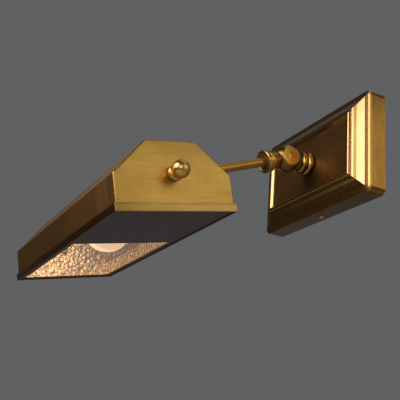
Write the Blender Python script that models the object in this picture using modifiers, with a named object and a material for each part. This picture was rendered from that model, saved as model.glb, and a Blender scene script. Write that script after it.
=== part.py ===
"""Picture light: a trapezoidal brass shade on a double-knuckle arm and a moulded wall plate.

The wall is the plane y = 0 and the light stands out from it towards -Y. X runs along the shade, +Z is up,
and the origin is the middle of the face that rests on the wall. All lengths are in metres.
"""

from math import atan2, cos, hypot, pi, radians, sin, sqrt

import bmesh
import bpy
from mathutils import Vector

# Play between neighbouring pieces.
GAP = 0.0003

# Wall plate: a pressed cover with a stepped moulding round a sunk panel.
PLATE_WIDTH = 0.181
PLATE_HEIGHT = 0.1084
PLATE_CORNER = 0.007
PLATE_CORNER_FADE = 0.0072
PLATE_SHEET = 0.0012
PANEL_DEPTH = 0.0269
# Moulding section, from the wall inwards: inset from the outer edge, height above the wall.
MOULDING = [
    (0.0000, 0.0000),
    (0.0000, 0.0174),
    (0.0004, 0.0187),
    (0.0014, 0.0194),
    (0.0066, 0.0204),
    (0.0095, 0.0218),
    (0.0135, 0.0244),
    (0.0160, 0.0264),
    (0.0188, 0.0275),
    (0.0199, 0.0276),
    (0.0213, 0.0290),
    (0.0228, 0.0293),
    (0.0258, PANEL_DEPTH),
]

# Wall bracket inside the plate.
BRACKET_SHEET = 0.0015
STRAP_WIDTH = 0.026
STRAP_LENGTH = 0.150
FLANGE_DEPTH = 0.013
WALL_SLOT_SPACING = 0.120
WALL_SLOT_LENGTH = 0.012
WALL_SLOT_WIDTH = 0.0045
SIDE_SCREW_DEPTH = 0.008
SIDE_SCREW_RADIUS = 0.0015

# Knuckle: two half balls face to face on a cross screw, on a two-bead base.
BALL_RADIUS = 0.0141
BALL_FLAT = 0.0103
HALF_SPLIT = 0.0006
BALL_WALL = 0.0025
BOSS_RADIUS = 0.0044
BOSS_RECESS = 0.0072
BASE_HEIGHT = 0.0277
BEAD_RADIUS = 0.0126
BEAD_THICKNESS = 0.0061
RING_RADIUS = 0.0114
RING_START = 0.0150
RING_END = 0.0210
NIPPLE_RADIUS = 0.0049
NIPPLE_BORE = 0.0033
LEAD_BORE = 0.0032
PIVOT_RADIUS = 0.0020
PIVOT_HEAD_RADIUS = 0.0038

# Arm.
ARM_SLOPE = radians(22.97)
ARM_REACH = 0.1575
TUBE_RADIUS = 0.0047
TUBE_BORE = 0.0036
TUBE_SOCKET_DEPTH = 0.006
COLLAR_FACE = 0.0302
CUP_DEPTH = 0.0010
ARM_CABLE_RADIUS = 0.0024

# Shade: folded sheet with two end caps, in its own frame. The frame's origin is the middle of the open
# underside, X is along the shade, Y points to the wall and Z to the top.
SHADE_TILT = radians(12.98)
SHADE_LENGTH = 0.2658
SHADE_HALF_WIDTH = 0.04855
TOP_HALF_WIDTH = 0.02105
SHADE_HEIGHT = 0.05525
CHAMFER_DROP = 0.0261
SHEET = 0.0010
SHEET_BOTTOM = 0.0021
CAP_SHEET = 0.0012
CAP_FLANGE = 0.008
CHAMFER_MOUNT = 0.01195

# Bottom tray with its window.
TRAY_HALF_WIDTH = 0.050
TRAY_OVERHANG = 0.0013
TRAY_HEIGHT = 0.0064
TRAY_SHEET = 0.0010
TRAY_RECESS = 0.0008
TRAY_RIM = 0.0012
WINDOW_HALF_WIDTH = 0.044
WINDOW_NEAR_X = 0.0262
WINDOW_FAR_X = -0.1272
TRAY_SCREW_X = 0.095

# Reflector.
REFLECTOR_SHEET = 0.0006
REFLECTOR_SECTION = [(0.0455, 0.0021), (0.0455, 0.0140), (0.0405, 0.0215), (0.0140, 0.0480)]
REFLECTOR_NEAR_X = 0.0270

# Knobs on the end caps.
KNOB_HEIGHT = 0.0290
KNOB_BALL_RADIUS = 0.0070
KNOB_BALL_CENTRE = 0.0118
KNOB_BASE_RADIUS = 0.0061
KNOB_SCREW_RADIUS = 0.0020

# Lamp and lampholder, on one axis along X.
LAMP_X = -0.0065
LAMP_HEIGHT = 0.0232
GLOBE_RADIUS = 0.0225
GLOBE_WALL = 0.0010
LAMP_NECK_X = 0.0270
LAMP_CAP_RADIUS = 0.0068
HOLDER_FRONT_X = 0.0310
HOLDER_BACK_X = 0.0600
HOLDER_RADIUS = 0.0135
HOLDER_BORE = 0.0076
HOLDER_LEAD_Y = 0.0088
RIVET_X = (0.0740, 0.0820)

LEAD_RADIUS = 0.0009


# ---------------------------------------------------------------- scene, collections and materials

def clear_scene():
    for old in list(bpy.data.objects):
        bpy.data.objects.remove(old, do_unlink=True)


def new_collection(name):
    collection = bpy.data.collections.new(name)
    bpy.context.scene.collection.children.link(collection)
    return collection


def new_material(name, colour, roughness, metallic):
    material = bpy.data.materials.new(name)
    material.use_nodes = True
    shader = material.node_tree.nodes["Principled BSDF"]
    shader.inputs["Base Color"].default_value = (*colour, 1.0)
    shader.inputs["Roughness"].default_value = roughness
    shader.inputs["Metallic"].default_value = metallic
    material.diffuse_color = (*colour, 1.0)
    return material


clear_scene()
PARTS = new_collection("picture_light")
CUTTERS = new_collection("cutters")
BRUSHED = new_material("brushed_brass", (0.47, 0.31, 0.11), 0.38, 1.0)
BRONZE = new_material("dark_bronze", (0.10, 0.060, 0.032), 0.42, 1.0)
POLISHED = new_material("polished_brass", (0.56, 0.38, 0.13), 0.22, 1.0)
SILVER = new_material("hammered_aluminium", (0.83, 0.80, 0.76), 0.25, 1.0)
STEEL = new_material("zinc_steel", (0.60, 0.60, 0.58), 0.35, 1.0)
GLASS = new_material("frosted_glass", (0.98, 0.90, 0.76), 0.45, 0.0)
PORCELAIN = new_material("porcelain", (0.86, 0.84, 0.79), 0.30, 0.0)
BLACK_PVC = new_material("black_sheath", (0.03, 0.03, 0.03), 0.50, 0.0)
BROWN_PVC = new_material("brown_sheath", (0.20, 0.09, 0.04), 0.50, 0.0)
BLUE_PVC = new_material("blue_sheath", (0.05, 0.14, 0.42), 0.50, 0.0)
GREEN_PVC = new_material("earth_sheath", (0.25, 0.50, 0.06), 0.50, 0.0)


# ---------------------------------------------------------------- helpers

def place(obj, parent, location, turn):
    obj.parent = parent
    obj.location = location
    obj.rotation_euler = turn


def pivot(name, parent, location, turn=(0.0, 0.0, 0.0)):
    """An empty that carries the pieces that move together."""
    empty = bpy.data.objects.new(name, None)
    PARTS.objects.link(empty)
    place(empty, parent, location, turn)
    return empty


def from_bmesh(name, bm, parent, material, location=(0.0, 0.0, 0.0), turn=(0.0, 0.0, 0.0)):
    """Object made of a bmesh. With no material it is a cutter."""
    bmesh.ops.recalc_face_normals(bm, faces=bm.faces)
    mesh = bpy.data.meshes.new(name)
    bm.to_mesh(mesh)
    bm.free()
    obj = bpy.data.objects.new(name, mesh)
    if material is None:
        CUTTERS.objects.link(obj)
        obj.hide_render = True
        obj.display_type = "WIRE"
    else:
        PARTS.objects.link(obj)
        mesh.materials.append(material)
        mesh.shade_smooth()
        mesh.set_sharp_from_angle(angle=radians(35))
    place(obj, parent, location, turn)
    return obj


def turned(name, profile, parent, material, location=(0.0, 0.0, 0.0), turn=(0.0, 0.0, 0.0), steps=20):
    """Solid of revolution about local Z. The profile holds (radius, height) points and runs down its outer
    side; it closes on itself, or starts and ends on the axis."""
    bm = bmesh.new()
    points = [bm.verts.new((radius, 0.0, height)) for radius, height in profile]
    for first, second in zip(points, points[1:]):
        bm.edges.new((first, second))
    if profile[0][0] > 0.0:
        bm.edges.new((points[-1], points[0]))
    obj = from_bmesh(name, bm, parent, material, location, turn)
    screw = obj.modifiers.new("turn", "SCREW")
    screw.axis = "Z"
    screw.steps = steps
    screw.render_steps = steps
    screw.use_merge_vertices = True
    screw.merge_threshold = 0.00001
    screw.use_smooth_shade = False
    return obj


def box(name, low, high, parent, material, bevel=0.0):
    bm = bmesh.new()
    bmesh.ops.create_cube(bm, size=1.0)
    low = Vector(low)
    size = Vector(high) - low
    for vert in bm.verts:
        vert.co = Vector([low[i] + (vert.co[i] + 0.5) * size[i] for i in range(3)])
    obj = from_bmesh(name, bm, parent, material)
    if bevel:
        edge = obj.modifiers.new("edge", "BEVEL")
        edge.width = bevel
        edge.segments = 1
    return obj


def prism(name, outline, low_x, high_x, parent, material):
    """Flat outline of (y, z) points, extruded along X."""
    bm = bmesh.new()
    face = bm.faces.new([bm.verts.new((low_x, y, z)) for y, z in outline])
    made = bmesh.ops.extrude_face_region(bm, geom=[face])
    moved = [item for item in made["geom"] if isinstance(item, bmesh.types.BMVert)]
    bmesh.ops.translate(bm, verts=moved, vec=(high_x - low_x, 0.0, 0.0))
    return from_bmesh(name, bm, parent, material)


def folded_sheet(name, section, low_x, high_x, thickness, parent, material):
    """Sheet folded to a section of (y, z) points that run from +Y over the top, with its inside below."""
    bm = bmesh.new()
    rows = [[bm.verts.new((x, y, z)) for y, z in section] for x in (low_x, high_x)]
    for i in range(len(section) - 1):
        bm.faces.new((rows[0][i], rows[0][i + 1], rows[1][i + 1], rows[1][i]))
    obj = from_bmesh(name, bm, parent, material)
    outward = obj.data.polygons[len(section) // 2 - 1].normal.z > 0.0
    shell = obj.modifiers.new("sheet", "SOLIDIFY")
    shell.thickness = thickness
    shell.offset = -1.0 if outward else 1.0
    shell.use_even_offset = True
    return obj


def wire(name, points, radius, parent, material):
    """Round lead along a polyline, with capped ends."""
    curve = bpy.data.curves.new(name, "CURVE")
    curve.dimensions = "3D"
    curve.bevel_depth = radius
    curve.bevel_resolution = 2
    curve.use_fill_caps = True
    spline = curve.splines.new("POLY")
    spline.points.add(len(points) - 1)
    for point, place_at in zip(spline.points, points):
        point.co = (*place_at, 1.0)
    curve.materials.append(material)
    obj = bpy.data.objects.new(name, curve)
    PARTS.objects.link(obj)
    obj.parent = parent
    return obj


def boolean(obj, other, operation):
    modifier = obj.modifiers.new(operation.lower(), "BOOLEAN")
    modifier.operation = operation
    modifier.object = other
    modifier.solver = "EXACT"


def cut(obj, *cutters):
    for cutter in cutters:
        boolean(obj, cutter, "DIFFERENCE")


def join(obj, *others):
    for other in others:
        boolean(obj, other, "UNION")


def rod_cutter(name, radius, low, high, parent, location, turn=(0.0, 0.0, 0.0), steps=16):
    """Cylindrical cutter along local Z from low to high."""
    profile = [(0.0, high), (radius, high), (radius, low), (0.0, low)]
    return turned(name, profile, parent, None, location, turn, steps)


def arc(centre_r, centre_z, radius, start, end, count):
    """Points of an arc in a turned profile; angles in degrees from the +radius direction."""
    angles = [radians(start + (end - start) * i / count) for i in range(count + 1)]
    return [(centre_r + radius * cos(a), centre_z + radius * sin(a)) for a in angles]


def smooth_route(points, per_span):
    """Catmull-Rom curve through the route's points."""
    route = []
    padded = [points[0]] + list(points) + [points[-1]]
    for a, b, c, d in zip(padded, padded[1:], padded[2:], padded[3:]):
        a, b, c, d = Vector(a), Vector(b), Vector(c), Vector(d)
        for step in range(per_span):
            t = step / per_span
            route.append(0.5 * ((2 * b) + (c - a) * t + (2 * a - 5 * b + 4 * c - d) * t**2
                                + (3 * b - a - 3 * c + d) * t**3))
    route.append(Vector(points[-1]))
    return route


# Turns of a turned piece's local Z.
TO_MINUS_Y = (radians(90), 0.0, 0.0)
TO_PLUS_Y = (radians(-90), 0.0, 0.0)
TO_PLUS_X = (0.0, radians(90), 0.0)
TO_MINUS_X = (0.0, radians(-90), 0.0)
TO_MINUS_Z = (radians(180), 0.0, 0.0)


# ---------------------------------------------------------------- frames of the moving groups

WALL_PIVOT = Vector((0.0, -(PANEL_DEPTH + BASE_HEIGHT), 0.0))
CHAMFER = Vector((0.0, SHADE_HALF_WIDTH - TOP_HALF_WIDTH, -CHAMFER_DROP))
CHAMFER_OUT = Vector((0.0, CHAMFER_DROP, SHADE_HALF_WIDTH - TOP_HALF_WIDTH)).normalized()
CHAMFER_ANGLE = atan2(CHAMFER_OUT.z, CHAMFER_OUT.y)
CHAMFER_FOOT = Vector((0.0, TOP_HALF_WIDTH, SHADE_HEIGHT)) + CHAMFER.normalized() * CHAMFER_MOUNT
SHADE_PIVOT = CHAMFER_FOOT + CHAMFER_OUT * BASE_HEIGHT

WALL = pivot("wall_frame", None, (0.0, 0.0, 0.0))
SWIVEL = pivot("swivel_frame", WALL, WALL_PIVOT)
ARM = pivot("arm_frame", SWIVEL, (0.0, 0.0, 0.0), (ARM_SLOPE, 0.0, 0.0))
SHADE_JOINT = pivot("shade_joint_frame", ARM, (0.0, -ARM_REACH, 0.0), (SHADE_TILT - ARM_SLOPE, 0.0, 0.0))
SHADE = pivot("shade_frame", SHADE_JOINT, -SHADE_PIVOT)


# ---------------------------------------------------------------- wall plate and what it holds

def rounded_rectangle(half_width, half_height, radius, per_corner=3):
    points = []
    for corner, (sx, sz) in enumerate(((1, 1), (-1, 1), (-1, -1), (1, -1))):
        for step in range(per_corner + 1):
            angle = radians(90) * (corner + step / per_corner)
            points.append((sx * (half_width - radius) + radius * cos(angle),
                           sz * (half_height - radius) + radius * sin(angle)))
    return points


def make_wall_plate():
    """Loops of the moulding section, lofted and closed by the panel, then thickened inwards."""
    bm = bmesh.new()
    loops = []
    for inset, height in MOULDING:
        radius = max(PLATE_CORNER * (1.0 - inset / PLATE_CORNER_FADE), 0.0008)
        outline = rounded_rectangle(PLATE_WIDTH / 2 - inset, PLATE_HEIGHT / 2 - inset, radius)
        loops.append([bm.verts.new((x, -height, z)) for x, z in outline])
    for lower, upper in zip(loops, loops[1:]):
        for i in range(len(lower)):
            following = (i + 1) % len(lower)
            bm.faces.new((lower[i], lower[following], upper[following], upper[i]))
    bm.faces.new(loops[-1])
    plate = from_bmesh("wall_plate", bm, WALL, BRONZE)
    outward = plate.data.polygons[len(plate.data.polygons) - 1].normal.y < 0.0
    shell = plate.modifiers.new("sheet", "SOLIDIFY")
    shell.thickness = PLATE_SHEET
    shell.offset = -1.0 if outward else 1.0
    cut(plate, rod_cutter("plate_nipple_hole", NIPPLE_RADIUS + GAP, -0.02, 0.04, WALL, (0, 0, 0), TO_MINUS_Y))
    cut(plate, rod_cutter("plate_screw_holes", SIDE_SCREW_RADIUS + GAP, -0.06, 0.06, WALL,
                          (0, -SIDE_SCREW_DEPTH, 0), steps=12))


def make_wall_bracket():
    """Cross of sheet steel: slotted strap along the wall, and an upright strap with two threaded flanges."""
    reach = PLATE_HEIGHT / 2 - PLATE_SHEET - 0.0004
    half_strap = STRAP_WIDTH / 2
    bracket = box("wall_bracket", (-STRAP_LENGTH / 2, -BRACKET_SHEET, -half_strap),
                  (STRAP_LENGTH / 2, 0.0, half_strap), WALL, STEEL)
    upright = box("bracket_upright", (-half_strap, -BRACKET_SHEET, -reach), (half_strap, 0.0, reach), WALL, None)
    join(bracket, upright)
    for side, end in ((1, "top"), (-1, "bottom")):
        edges = sorted((side * reach, side * (reach - BRACKET_SHEET)))
        flange = box("bracket_flange_" + end, (-half_strap, -FLANGE_DEPTH, edges[0]),
                     (half_strap, 0.0, edges[1]), WALL, None)
        join(bracket, flange)
    for side in (1, -1):
        centre = side * WALL_SLOT_SPACING / 2
        half_slot = WALL_SLOT_LENGTH / 2
        cut(bracket, box(f"wall_slot_{side}", (centre - half_slot, -0.01, -WALL_SLOT_WIDTH / 2),
                         (centre + half_slot, 0.01, WALL_SLOT_WIDTH / 2), WALL, None))
    cut(bracket, rod_cutter("flange_holes", SIDE_SCREW_RADIUS + GAP, -0.06, 0.06, WALL,
                            (0, -SIDE_SCREW_DEPTH, 0), steps=12))
    for name, x, z, radius in (("supply_entry", 0.022, 0.0, 0.0050), ("block_screw_hole", -0.034, 0.0, 0.0018),
                               ("earth_screw_hole", 0.042, 0.0, 0.0023)):
        cut(bracket, rod_cutter(name, radius, -0.01, 0.01, WALL, (x, 0, z), TO_MINUS_Y, 12))


def hexagon_nut(name, radius, low, high, bore, parent, location=(0.0, 0.0, 0.0), turn=(0.0, 0.0, 0.0)):
    profile = [(0.0, high), (radius, high), (radius, low), (0.0, low)]
    nut = turned(name, profile, parent, STEEL, location, turn, 6)
    cut(nut, rod_cutter(name + "_bore", bore, low - 0.002, high + 0.002, parent, location, turn))


def round_head_screw(name, parent, location, turn, material, head_radius, head_height, radius, length):
    """Domed head above local z = 0, shank below it."""
    dome = [(head_radius * cos(radians(a)), head_height * sin(radians(a))) for a in (90, 60, 30, 0)]
    dome[0] = (0.0, head_height)
    profile = dome + [(radius, 0.0), (radius, -length), (0.0, -length)]
    return turned(name, profile, parent, material, location, turn, 12)


def make_wall_fixings():
    for end, side, turn in (("top", 1, (0.0, 0.0, 0.0)), ("bottom", -1, TO_MINUS_Z)):
        round_head_screw("plate_screw_" + end, WALL, (0, -SIDE_SCREW_DEPTH, side * (PLATE_HEIGHT / 2 + GAP)),
                         turn, POLISHED, 0.0030, 0.0019, SIDE_SCREW_RADIUS, 0.0055)
    block = box("terminal_block", (-0.046, -0.0138, -0.0085), (-0.022, -BRACKET_SHEET - GAP, 0.0085), WALL,
                PORCELAIN, 0.0008)
    round_head_screw("block_screw", WALL, (-0.034, -0.0110, 0), TO_MINUS_Y, STEEL, 0.0028, 0.0014, 0.0015, 0.0105)
    sink = [(0.0, 0.02), (0.0032, 0.02), (0.0032, 0.0107), (0.0018, 0.0107), (0.0018, -0.001), (0.0, -0.001)]
    cut(block, turned("block_screw_sink", sink, WALL, None, (-0.034, 0, 0), TO_MINUS_Y, 12))
    for name, x in (("terminal_screw_left", -0.0415), ("terminal_screw_right", -0.0265)):
        cut(block, rod_cutter(name + "_bore", 0.0021, 0.0066, 0.02, WALL, (x, 0, 0), TO_MINUS_Y, 12))
        cut(block, rod_cutter(name + "_entry", LEAD_RADIUS + GAP, -0.012, 0.012, WALL, (x, -0.0062, 0.0), steps=12))
        round_head_screw(name, WALL, (x, -0.0118, 0), TO_MINUS_Y, STEEL, 0.0017, 0.0008, 0.0014, 0.0038)
    round_head_screw("earth_screw", WALL, (0.042, -BRACKET_SHEET - GAP, 0), TO_MINUS_Y, POLISHED,
                     0.0042, 0.0022, 0.0020, BRACKET_SHEET + GAP)


def make_panel_stiffener():
    back = PANEL_DEPTH - PLATE_SHEET - GAP
    plate = box("plate_stiffener", (-0.026, -back, -0.018), (0.026, -back + 0.0015, 0.018), WALL, STEEL)
    cut(plate, rod_cutter("stiffener_hole", NIPPLE_RADIUS + GAP, 0.0, 0.04, WALL, (0, 0, 0), TO_MINUS_Y))


# ---------------------------------------------------------------- knuckles

def bead_profile(start, end, bore, outer):
    """Doughnut bead between two heights, on a bored hub."""
    middle = (start + end) / 2
    half = (end - start) / 2
    swell = [(outer - half + half * cos(radians(a)), middle + half * sin(radians(a)))
             for a in (90, 60, 30, 0, -30, -60, -90)]
    return [(bore, end)] + swell + [(bore, start)]


def half_ball(name, side, parent):
    """Hollow half of the knuckle ball on one side of x = 0, with a flat outer face and a boss for the pivot."""
    first = atan2(BALL_FLAT, sqrt(BALL_RADIUS**2 - BALL_FLAT**2))
    last = atan2(HALF_SPLIT, sqrt(BALL_RADIUS**2 - HALF_SPLIT**2))
    angles = [first + (last - first) * i / 5 for i in range(6)]
    rim = [(BALL_RADIUS * cos(a), BALL_RADIUS * sin(a)) for a in angles]
    hollow = BALL_RADIUS - BALL_WALL
    profile = [(0.0, BALL_FLAT)] + rim + [(hollow, HALF_SPLIT), (hollow * 0.93, hollow * 0.36)]
    profile += [(0.0078, BOSS_RECESS), (BOSS_RADIUS, BOSS_RECESS), (BOSS_RADIUS, HALF_SPLIT), (0.0, HALF_SPLIT)]
    return turned(name, profile, parent, None, turn=TO_PLUS_X if side > 0 else TO_MINUS_X, steps=22)


def clearance_ball(name, side, parent):
    """Room for the other half ball, past the split plane."""
    radius = BALL_RADIUS + GAP
    profile = [(0.0, 0.0150)] + arc(0, 0, radius, 75, 0, 6) + [(radius, -HALF_SPLIT), (0.0, -HALF_SPLIT)]
    return turned(name, profile, parent, None, turn=TO_PLUS_X if side > 0 else TO_MINUS_X, steps=22)


def cut_pivot_bores(obj, name, parent):
    """Cross hole for the pivot screw, with room for its head on +X and its nut on -X."""
    cut(obj, rod_cutter(name + "_pivot_bore", PIVOT_RADIUS + GAP, -0.02, 0.02, parent, (0, 0, 0), TO_PLUS_X))
    head = PIVOT_HEAD_RADIUS + GAP
    sink = BALL_FLAT - 0.0026
    cut(obj, rod_cutter(name + "_head_sink", head, sink, 0.02, parent, (0, 0, 0), TO_PLUS_X))
    cut(obj, rod_cutter(name + "_nut_sink", head, sink, 0.02, parent, (0, 0, 0), TO_MINUS_X))


def make_knuckle_base(name, parent, turn, material):
    """Ring and half ball of the side that is screwed to the plate or shade; its axis is local +Z."""
    frame = pivot(name + "_frame", parent, (0.0, 0.0, 0.0), turn)
    base_turn = (0.0, 0.0, 0.0)
    half = (RING_END - RING_START) / 2
    middle = (RING_END + RING_START) / 2
    bead = [(RING_RADIUS - half + half * cos(radians(a)), middle + half * sin(radians(a)))
            for a in (90, 60, 30, 0, -30, -60)]
    profile = [(0.0, RING_END)] + bead + [(0.0075, RING_START), (0.0070, 0.0118), (0.0, 0.0118)]
    base = turned(name, profile, frame, material, turn=base_turn)
    cut(base, clearance_ball(name + "_clearance", 1, frame))
    join(base, half_ball(name + "_half", -1, frame))
    cut(base, rod_cutter(name + "_lead_bore", LEAD_BORE, 0.007, 0.03, frame, (0, 0, 0)))
    cut(base, rod_cutter(name + "_nipple_bore", NIPPLE_RADIUS + GAP, 0.0155, 0.03, frame, (0, 0, 0)))
    cut_pivot_bores(base, name, frame)
    return frame


def make_nipple_set(prefix, frame, seat, washer_parent, material):
    """Bead, hollow threaded nipple, washer and nut on the base's axis. The seat is the sheet's thickness."""
    bead_end = BASE_HEIGHT - GAP
    turned(prefix + "_bead", bead_profile(bead_end - BEAD_THICKNESS, bead_end, NIPPLE_RADIUS + GAP, BEAD_RADIUS),
           washer_parent, material)
    inner = BASE_HEIGHT + seat
    washer_low = inner + GAP
    nut_low = washer_low + 0.0008 + GAP
    nut_high = nut_low + 0.0035
    nipple = [(NIPPLE_RADIUS, nut_high + 0.0008), (NIPPLE_RADIUS, 0.0158), (NIPPLE_BORE, 0.0158),
              (NIPPLE_BORE, nut_high + 0.0008)]
    turned(prefix + "_nipple", nipple, frame, STEEL, steps=20)
    washer = [(0.0085, washer_low + 0.0008), (0.0085, washer_low), (NIPPLE_RADIUS + GAP, washer_low),
              (NIPPLE_RADIUS + GAP, washer_low + 0.0008)]
    turned(prefix + "_washer", washer, frame, STEEL, steps=20)
    hexagon_nut(prefix + "_nut", 0.0080, nut_low, nut_high, NIPPLE_RADIUS + GAP, frame)


def make_arm_knuckle(name, direction, parent, material):
    """Stepped collar and half ball on one end of the arm; direction is the turn of its axis."""
    frame = pivot(name + "_frame", parent, (0.0, 0.0, 0.0), direction)
    face = COLLAR_FACE
    cup = face - CUP_DEPTH
    profile = [(0.0, cup), (0.0088, cup), (0.0098, cup + 0.0006)]
    profile += arc(0.0108, face - 0.0014, 0.0014, 110, -60, 6)
    profile += [(0.0110, face - 0.0031), (0.0113, face - 0.0040), (0.0108, face - 0.0048), (0.0100, face - 0.0052)]
    profile += arc(0.0087, face - 0.0077, 0.0022, 50, -55, 4)
    profile += [(0.0092, face - 0.0104), (0.0086, face - 0.0120), (0.0084, 0.0150), (0.0082, 0.0118), (0.0, 0.0118)]
    collar = turned(name, profile, frame, material)
    cut(collar, clearance_ball(name + "_clearance", -1, frame))
    join(collar, half_ball(name + "_half", 1, frame))
    cut(collar, rod_cutter(name + "_lead_bore", LEAD_BORE, 0.007, 0.04, frame, (0, 0, 0)))
    cut(collar, rod_cutter(name + "_tube_socket", TUBE_RADIUS + GAP, face - TUBE_SOCKET_DEPTH - GAP, 0.04,
                           frame, (0, 0, 0)))
    cut_pivot_bores(collar, name, frame)
    return frame


def make_pivot_hardware(prefix, parent):
    """Cross screw with a flush head on +X, its flush nut on -X, and the friction washer between the halves."""
    head_low = BALL_FLAT - 0.0023
    screw = [(0.0, BALL_FLAT - 0.0003), (PIVOT_HEAD_RADIUS, BALL_FLAT - 0.0003), (PIVOT_HEAD_RADIUS, head_low),
             (PIVOT_RADIUS, head_low), (PIVOT_RADIUS, -BALL_FLAT + 0.0006), (0.0, -BALL_FLAT + 0.0006)]
    turned(prefix + "_pivot_screw", screw, parent, POLISHED, turn=TO_PLUS_X, steps=16)
    nut = [(PIVOT_HEAD_RADIUS, BALL_FLAT - 0.0003), (PIVOT_HEAD_RADIUS, head_low), (PIVOT_RADIUS + GAP, head_low),
           (PIVOT_RADIUS + GAP, BALL_FLAT - 0.0003)]
    turned(prefix + "_pivot_nut", nut, parent, POLISHED, turn=TO_MINUS_X, steps=16)
    inner = PIVOT_RADIUS + GAP
    washer = [(BOSS_RADIUS, 0.0003), (BOSS_RADIUS, -0.0003), (inner, -0.0003), (inner, 0.0003)]
    turned(prefix + "_friction_washer", washer, parent, STEEL, turn=TO_PLUS_X, steps=16)


# ---------------------------------------------------------------- arm

def make_arm():
    make_arm_knuckle("arm_knuckle_wall", TO_MINUS_Y, ARM, BRUSHED)
    far_end = pivot("arm_far_end", ARM, (0.0, -ARM_REACH, 0.0))
    make_arm_knuckle("arm_knuckle_shade", TO_PLUS_Y, far_end, BRUSHED)
    start = COLLAR_FACE - TUBE_SOCKET_DEPTH
    end = ARM_REACH - start
    turned("arm_tube", [(TUBE_RADIUS, end), (TUBE_RADIUS, start), (TUBE_BORE, start), (TUBE_BORE, end)],
           ARM, BRUSHED, turn=TO_MINUS_Y)
    inset = 0.0165
    wire("arm_cable", [(0.0, -inset, 0.0), (0.0, -ARM_REACH / 2, 0.0), (0.0, inset - ARM_REACH, 0.0)],
         ARM_CABLE_RADIUS, ARM, BLACK_PVC)
    make_pivot_hardware("wall", ARM)
    make_pivot_hardware("shade", far_end)


# ---------------------------------------------------------------- shade

def shade_outline(inset, bottom):
    """Shade section, moved inwards by a sheet's thickness, from +Y over the top to -Y."""
    run = hypot(SHADE_HALF_WIDTH - TOP_HALF_WIDTH, CHAMFER_DROP)
    side = inset * (run - CHAMFER_DROP) / (SHADE_HALF_WIDTH - TOP_HALF_WIDTH)
    top = inset * (run - (SHADE_HALF_WIDTH - TOP_HALF_WIDTH)) / CHAMFER_DROP
    half = [(SHADE_HALF_WIDTH - inset, bottom),
            (SHADE_HALF_WIDTH - inset, SHADE_HEIGHT - CHAMFER_DROP - side),
            (TOP_HALF_WIDTH - top, SHADE_HEIGHT - inset)]
    return half + [(-y, z) for y, z in reversed(half)]


def make_shade_body():
    end = SHADE_LENGTH / 2 - CAP_SHEET - GAP
    body = folded_sheet("shade_body", shade_outline(0.0, SHEET_BOTTOM), -end, end, SHEET, SHADE, BRONZE)
    cut(body, rod_cutter("shade_nipple_hole", NIPPLE_RADIUS + GAP, -0.01, 0.01, SHADE, CHAMFER_FOOT,
                         (CHAMFER_ANGLE - pi / 2, 0.0, 0.0)))
    cut(body, *[rod_cutter(f"rivet_hole_{i}", 0.0016, -0.01, 0.01, SHADE, (x, 0, SHADE_HEIGHT), steps=12)
                for i, x in enumerate(RIVET_X)])
    for side, name in ((1, "right"), (-1, "left")):
        cut(body, rod_cutter("body_tray_hole_" + name, 0.0014, -0.01, 0.01, SHADE,
                             (side * TRAY_SCREW_X, SHADE_HALF_WIDTH, TRAY_HEIGHT * 0.55), TO_PLUS_Y, 12))


def make_end_cap(name, side):
    """Octagonal plate with an inner flange that sits inside the folded sheet."""
    outer = SHADE_LENGTH / 2
    inner = outer - CAP_SHEET
    span = sorted((side * outer, side * inner))
    cap = prism(name, shade_outline(0.0, SHEET_BOTTOM), span[0], span[1], SHADE, BRUSHED)
    flange_inset = SHEET + GAP
    span = sorted((side * (outer - 0.0006), side * (inner - CAP_FLANGE)))
    join(cap, prism(name + "_flange", shade_outline(flange_inset, SHEET_BOTTOM + 0.0005), span[0], span[1],
                    SHADE, None))
    span = sorted((side * inner, side * (inner - CAP_FLANGE - 0.005)))
    cut(cap, prism(name + "_hollow", shade_outline(flange_inset + 0.0008, -0.005), span[0], span[1], SHADE, None))
    cut(cap, rod_cutter(name + "_knob_hole", KNOB_SCREW_RADIUS + GAP, -0.2, 0.2, SHADE, (0, 0, KNOB_HEIGHT),
                        TO_PLUS_X))


def make_bottom_tray():
    """Shallow tray over the shade's lower edge, open in a window under the lamp."""
    half_length = SHADE_LENGTH / 2 + TRAY_OVERHANG
    tray = box("bottom_tray", (-half_length, -TRAY_HALF_WIDTH, 0.0), (half_length, TRAY_HALF_WIDTH, TRAY_HEIGHT),
               SHADE, BRONZE)
    inner_length = SHADE_LENGTH / 2 + GAP
    inner_width = SHADE_HALF_WIDTH + GAP
    cut(tray, box("tray_hollow", (-inner_length, -inner_width, TRAY_RECESS + TRAY_SHEET),
                  (inner_length, inner_width, 0.02), SHADE, None))
    cut(tray, box("tray_recess", (TRAY_RIM - half_length, TRAY_RIM - TRAY_HALF_WIDTH, -0.01),
                  (half_length - TRAY_RIM, TRAY_HALF_WIDTH - TRAY_RIM, TRAY_RECESS), SHADE, None))
    cut(tray, box("tray_window", (WINDOW_FAR_X, -WINDOW_HALF_WIDTH, -0.01),
                  (WINDOW_NEAR_X, WINDOW_HALF_WIDTH, 0.01), SHADE, None))
    for side, name in ((1, "right"), (-1, "left")):
        at = (side * TRAY_SCREW_X, TRAY_HALF_WIDTH + GAP, TRAY_HEIGHT * 0.55)
        cut(tray, rod_cutter("tray_hole_" + name, 0.0014, -0.003, 0.01, SHADE, at, TO_PLUS_Y, 12))
        round_head_screw("tray_screw_" + name, SHADE, at, TO_PLUS_Y, POLISHED, 0.0022, 0.0013, 0.0011, 0.0042)


def reflector_outline():
    return REFLECTOR_SECTION + [(-y, z) for y, z in reversed(REFLECTOR_SECTION)]


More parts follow.
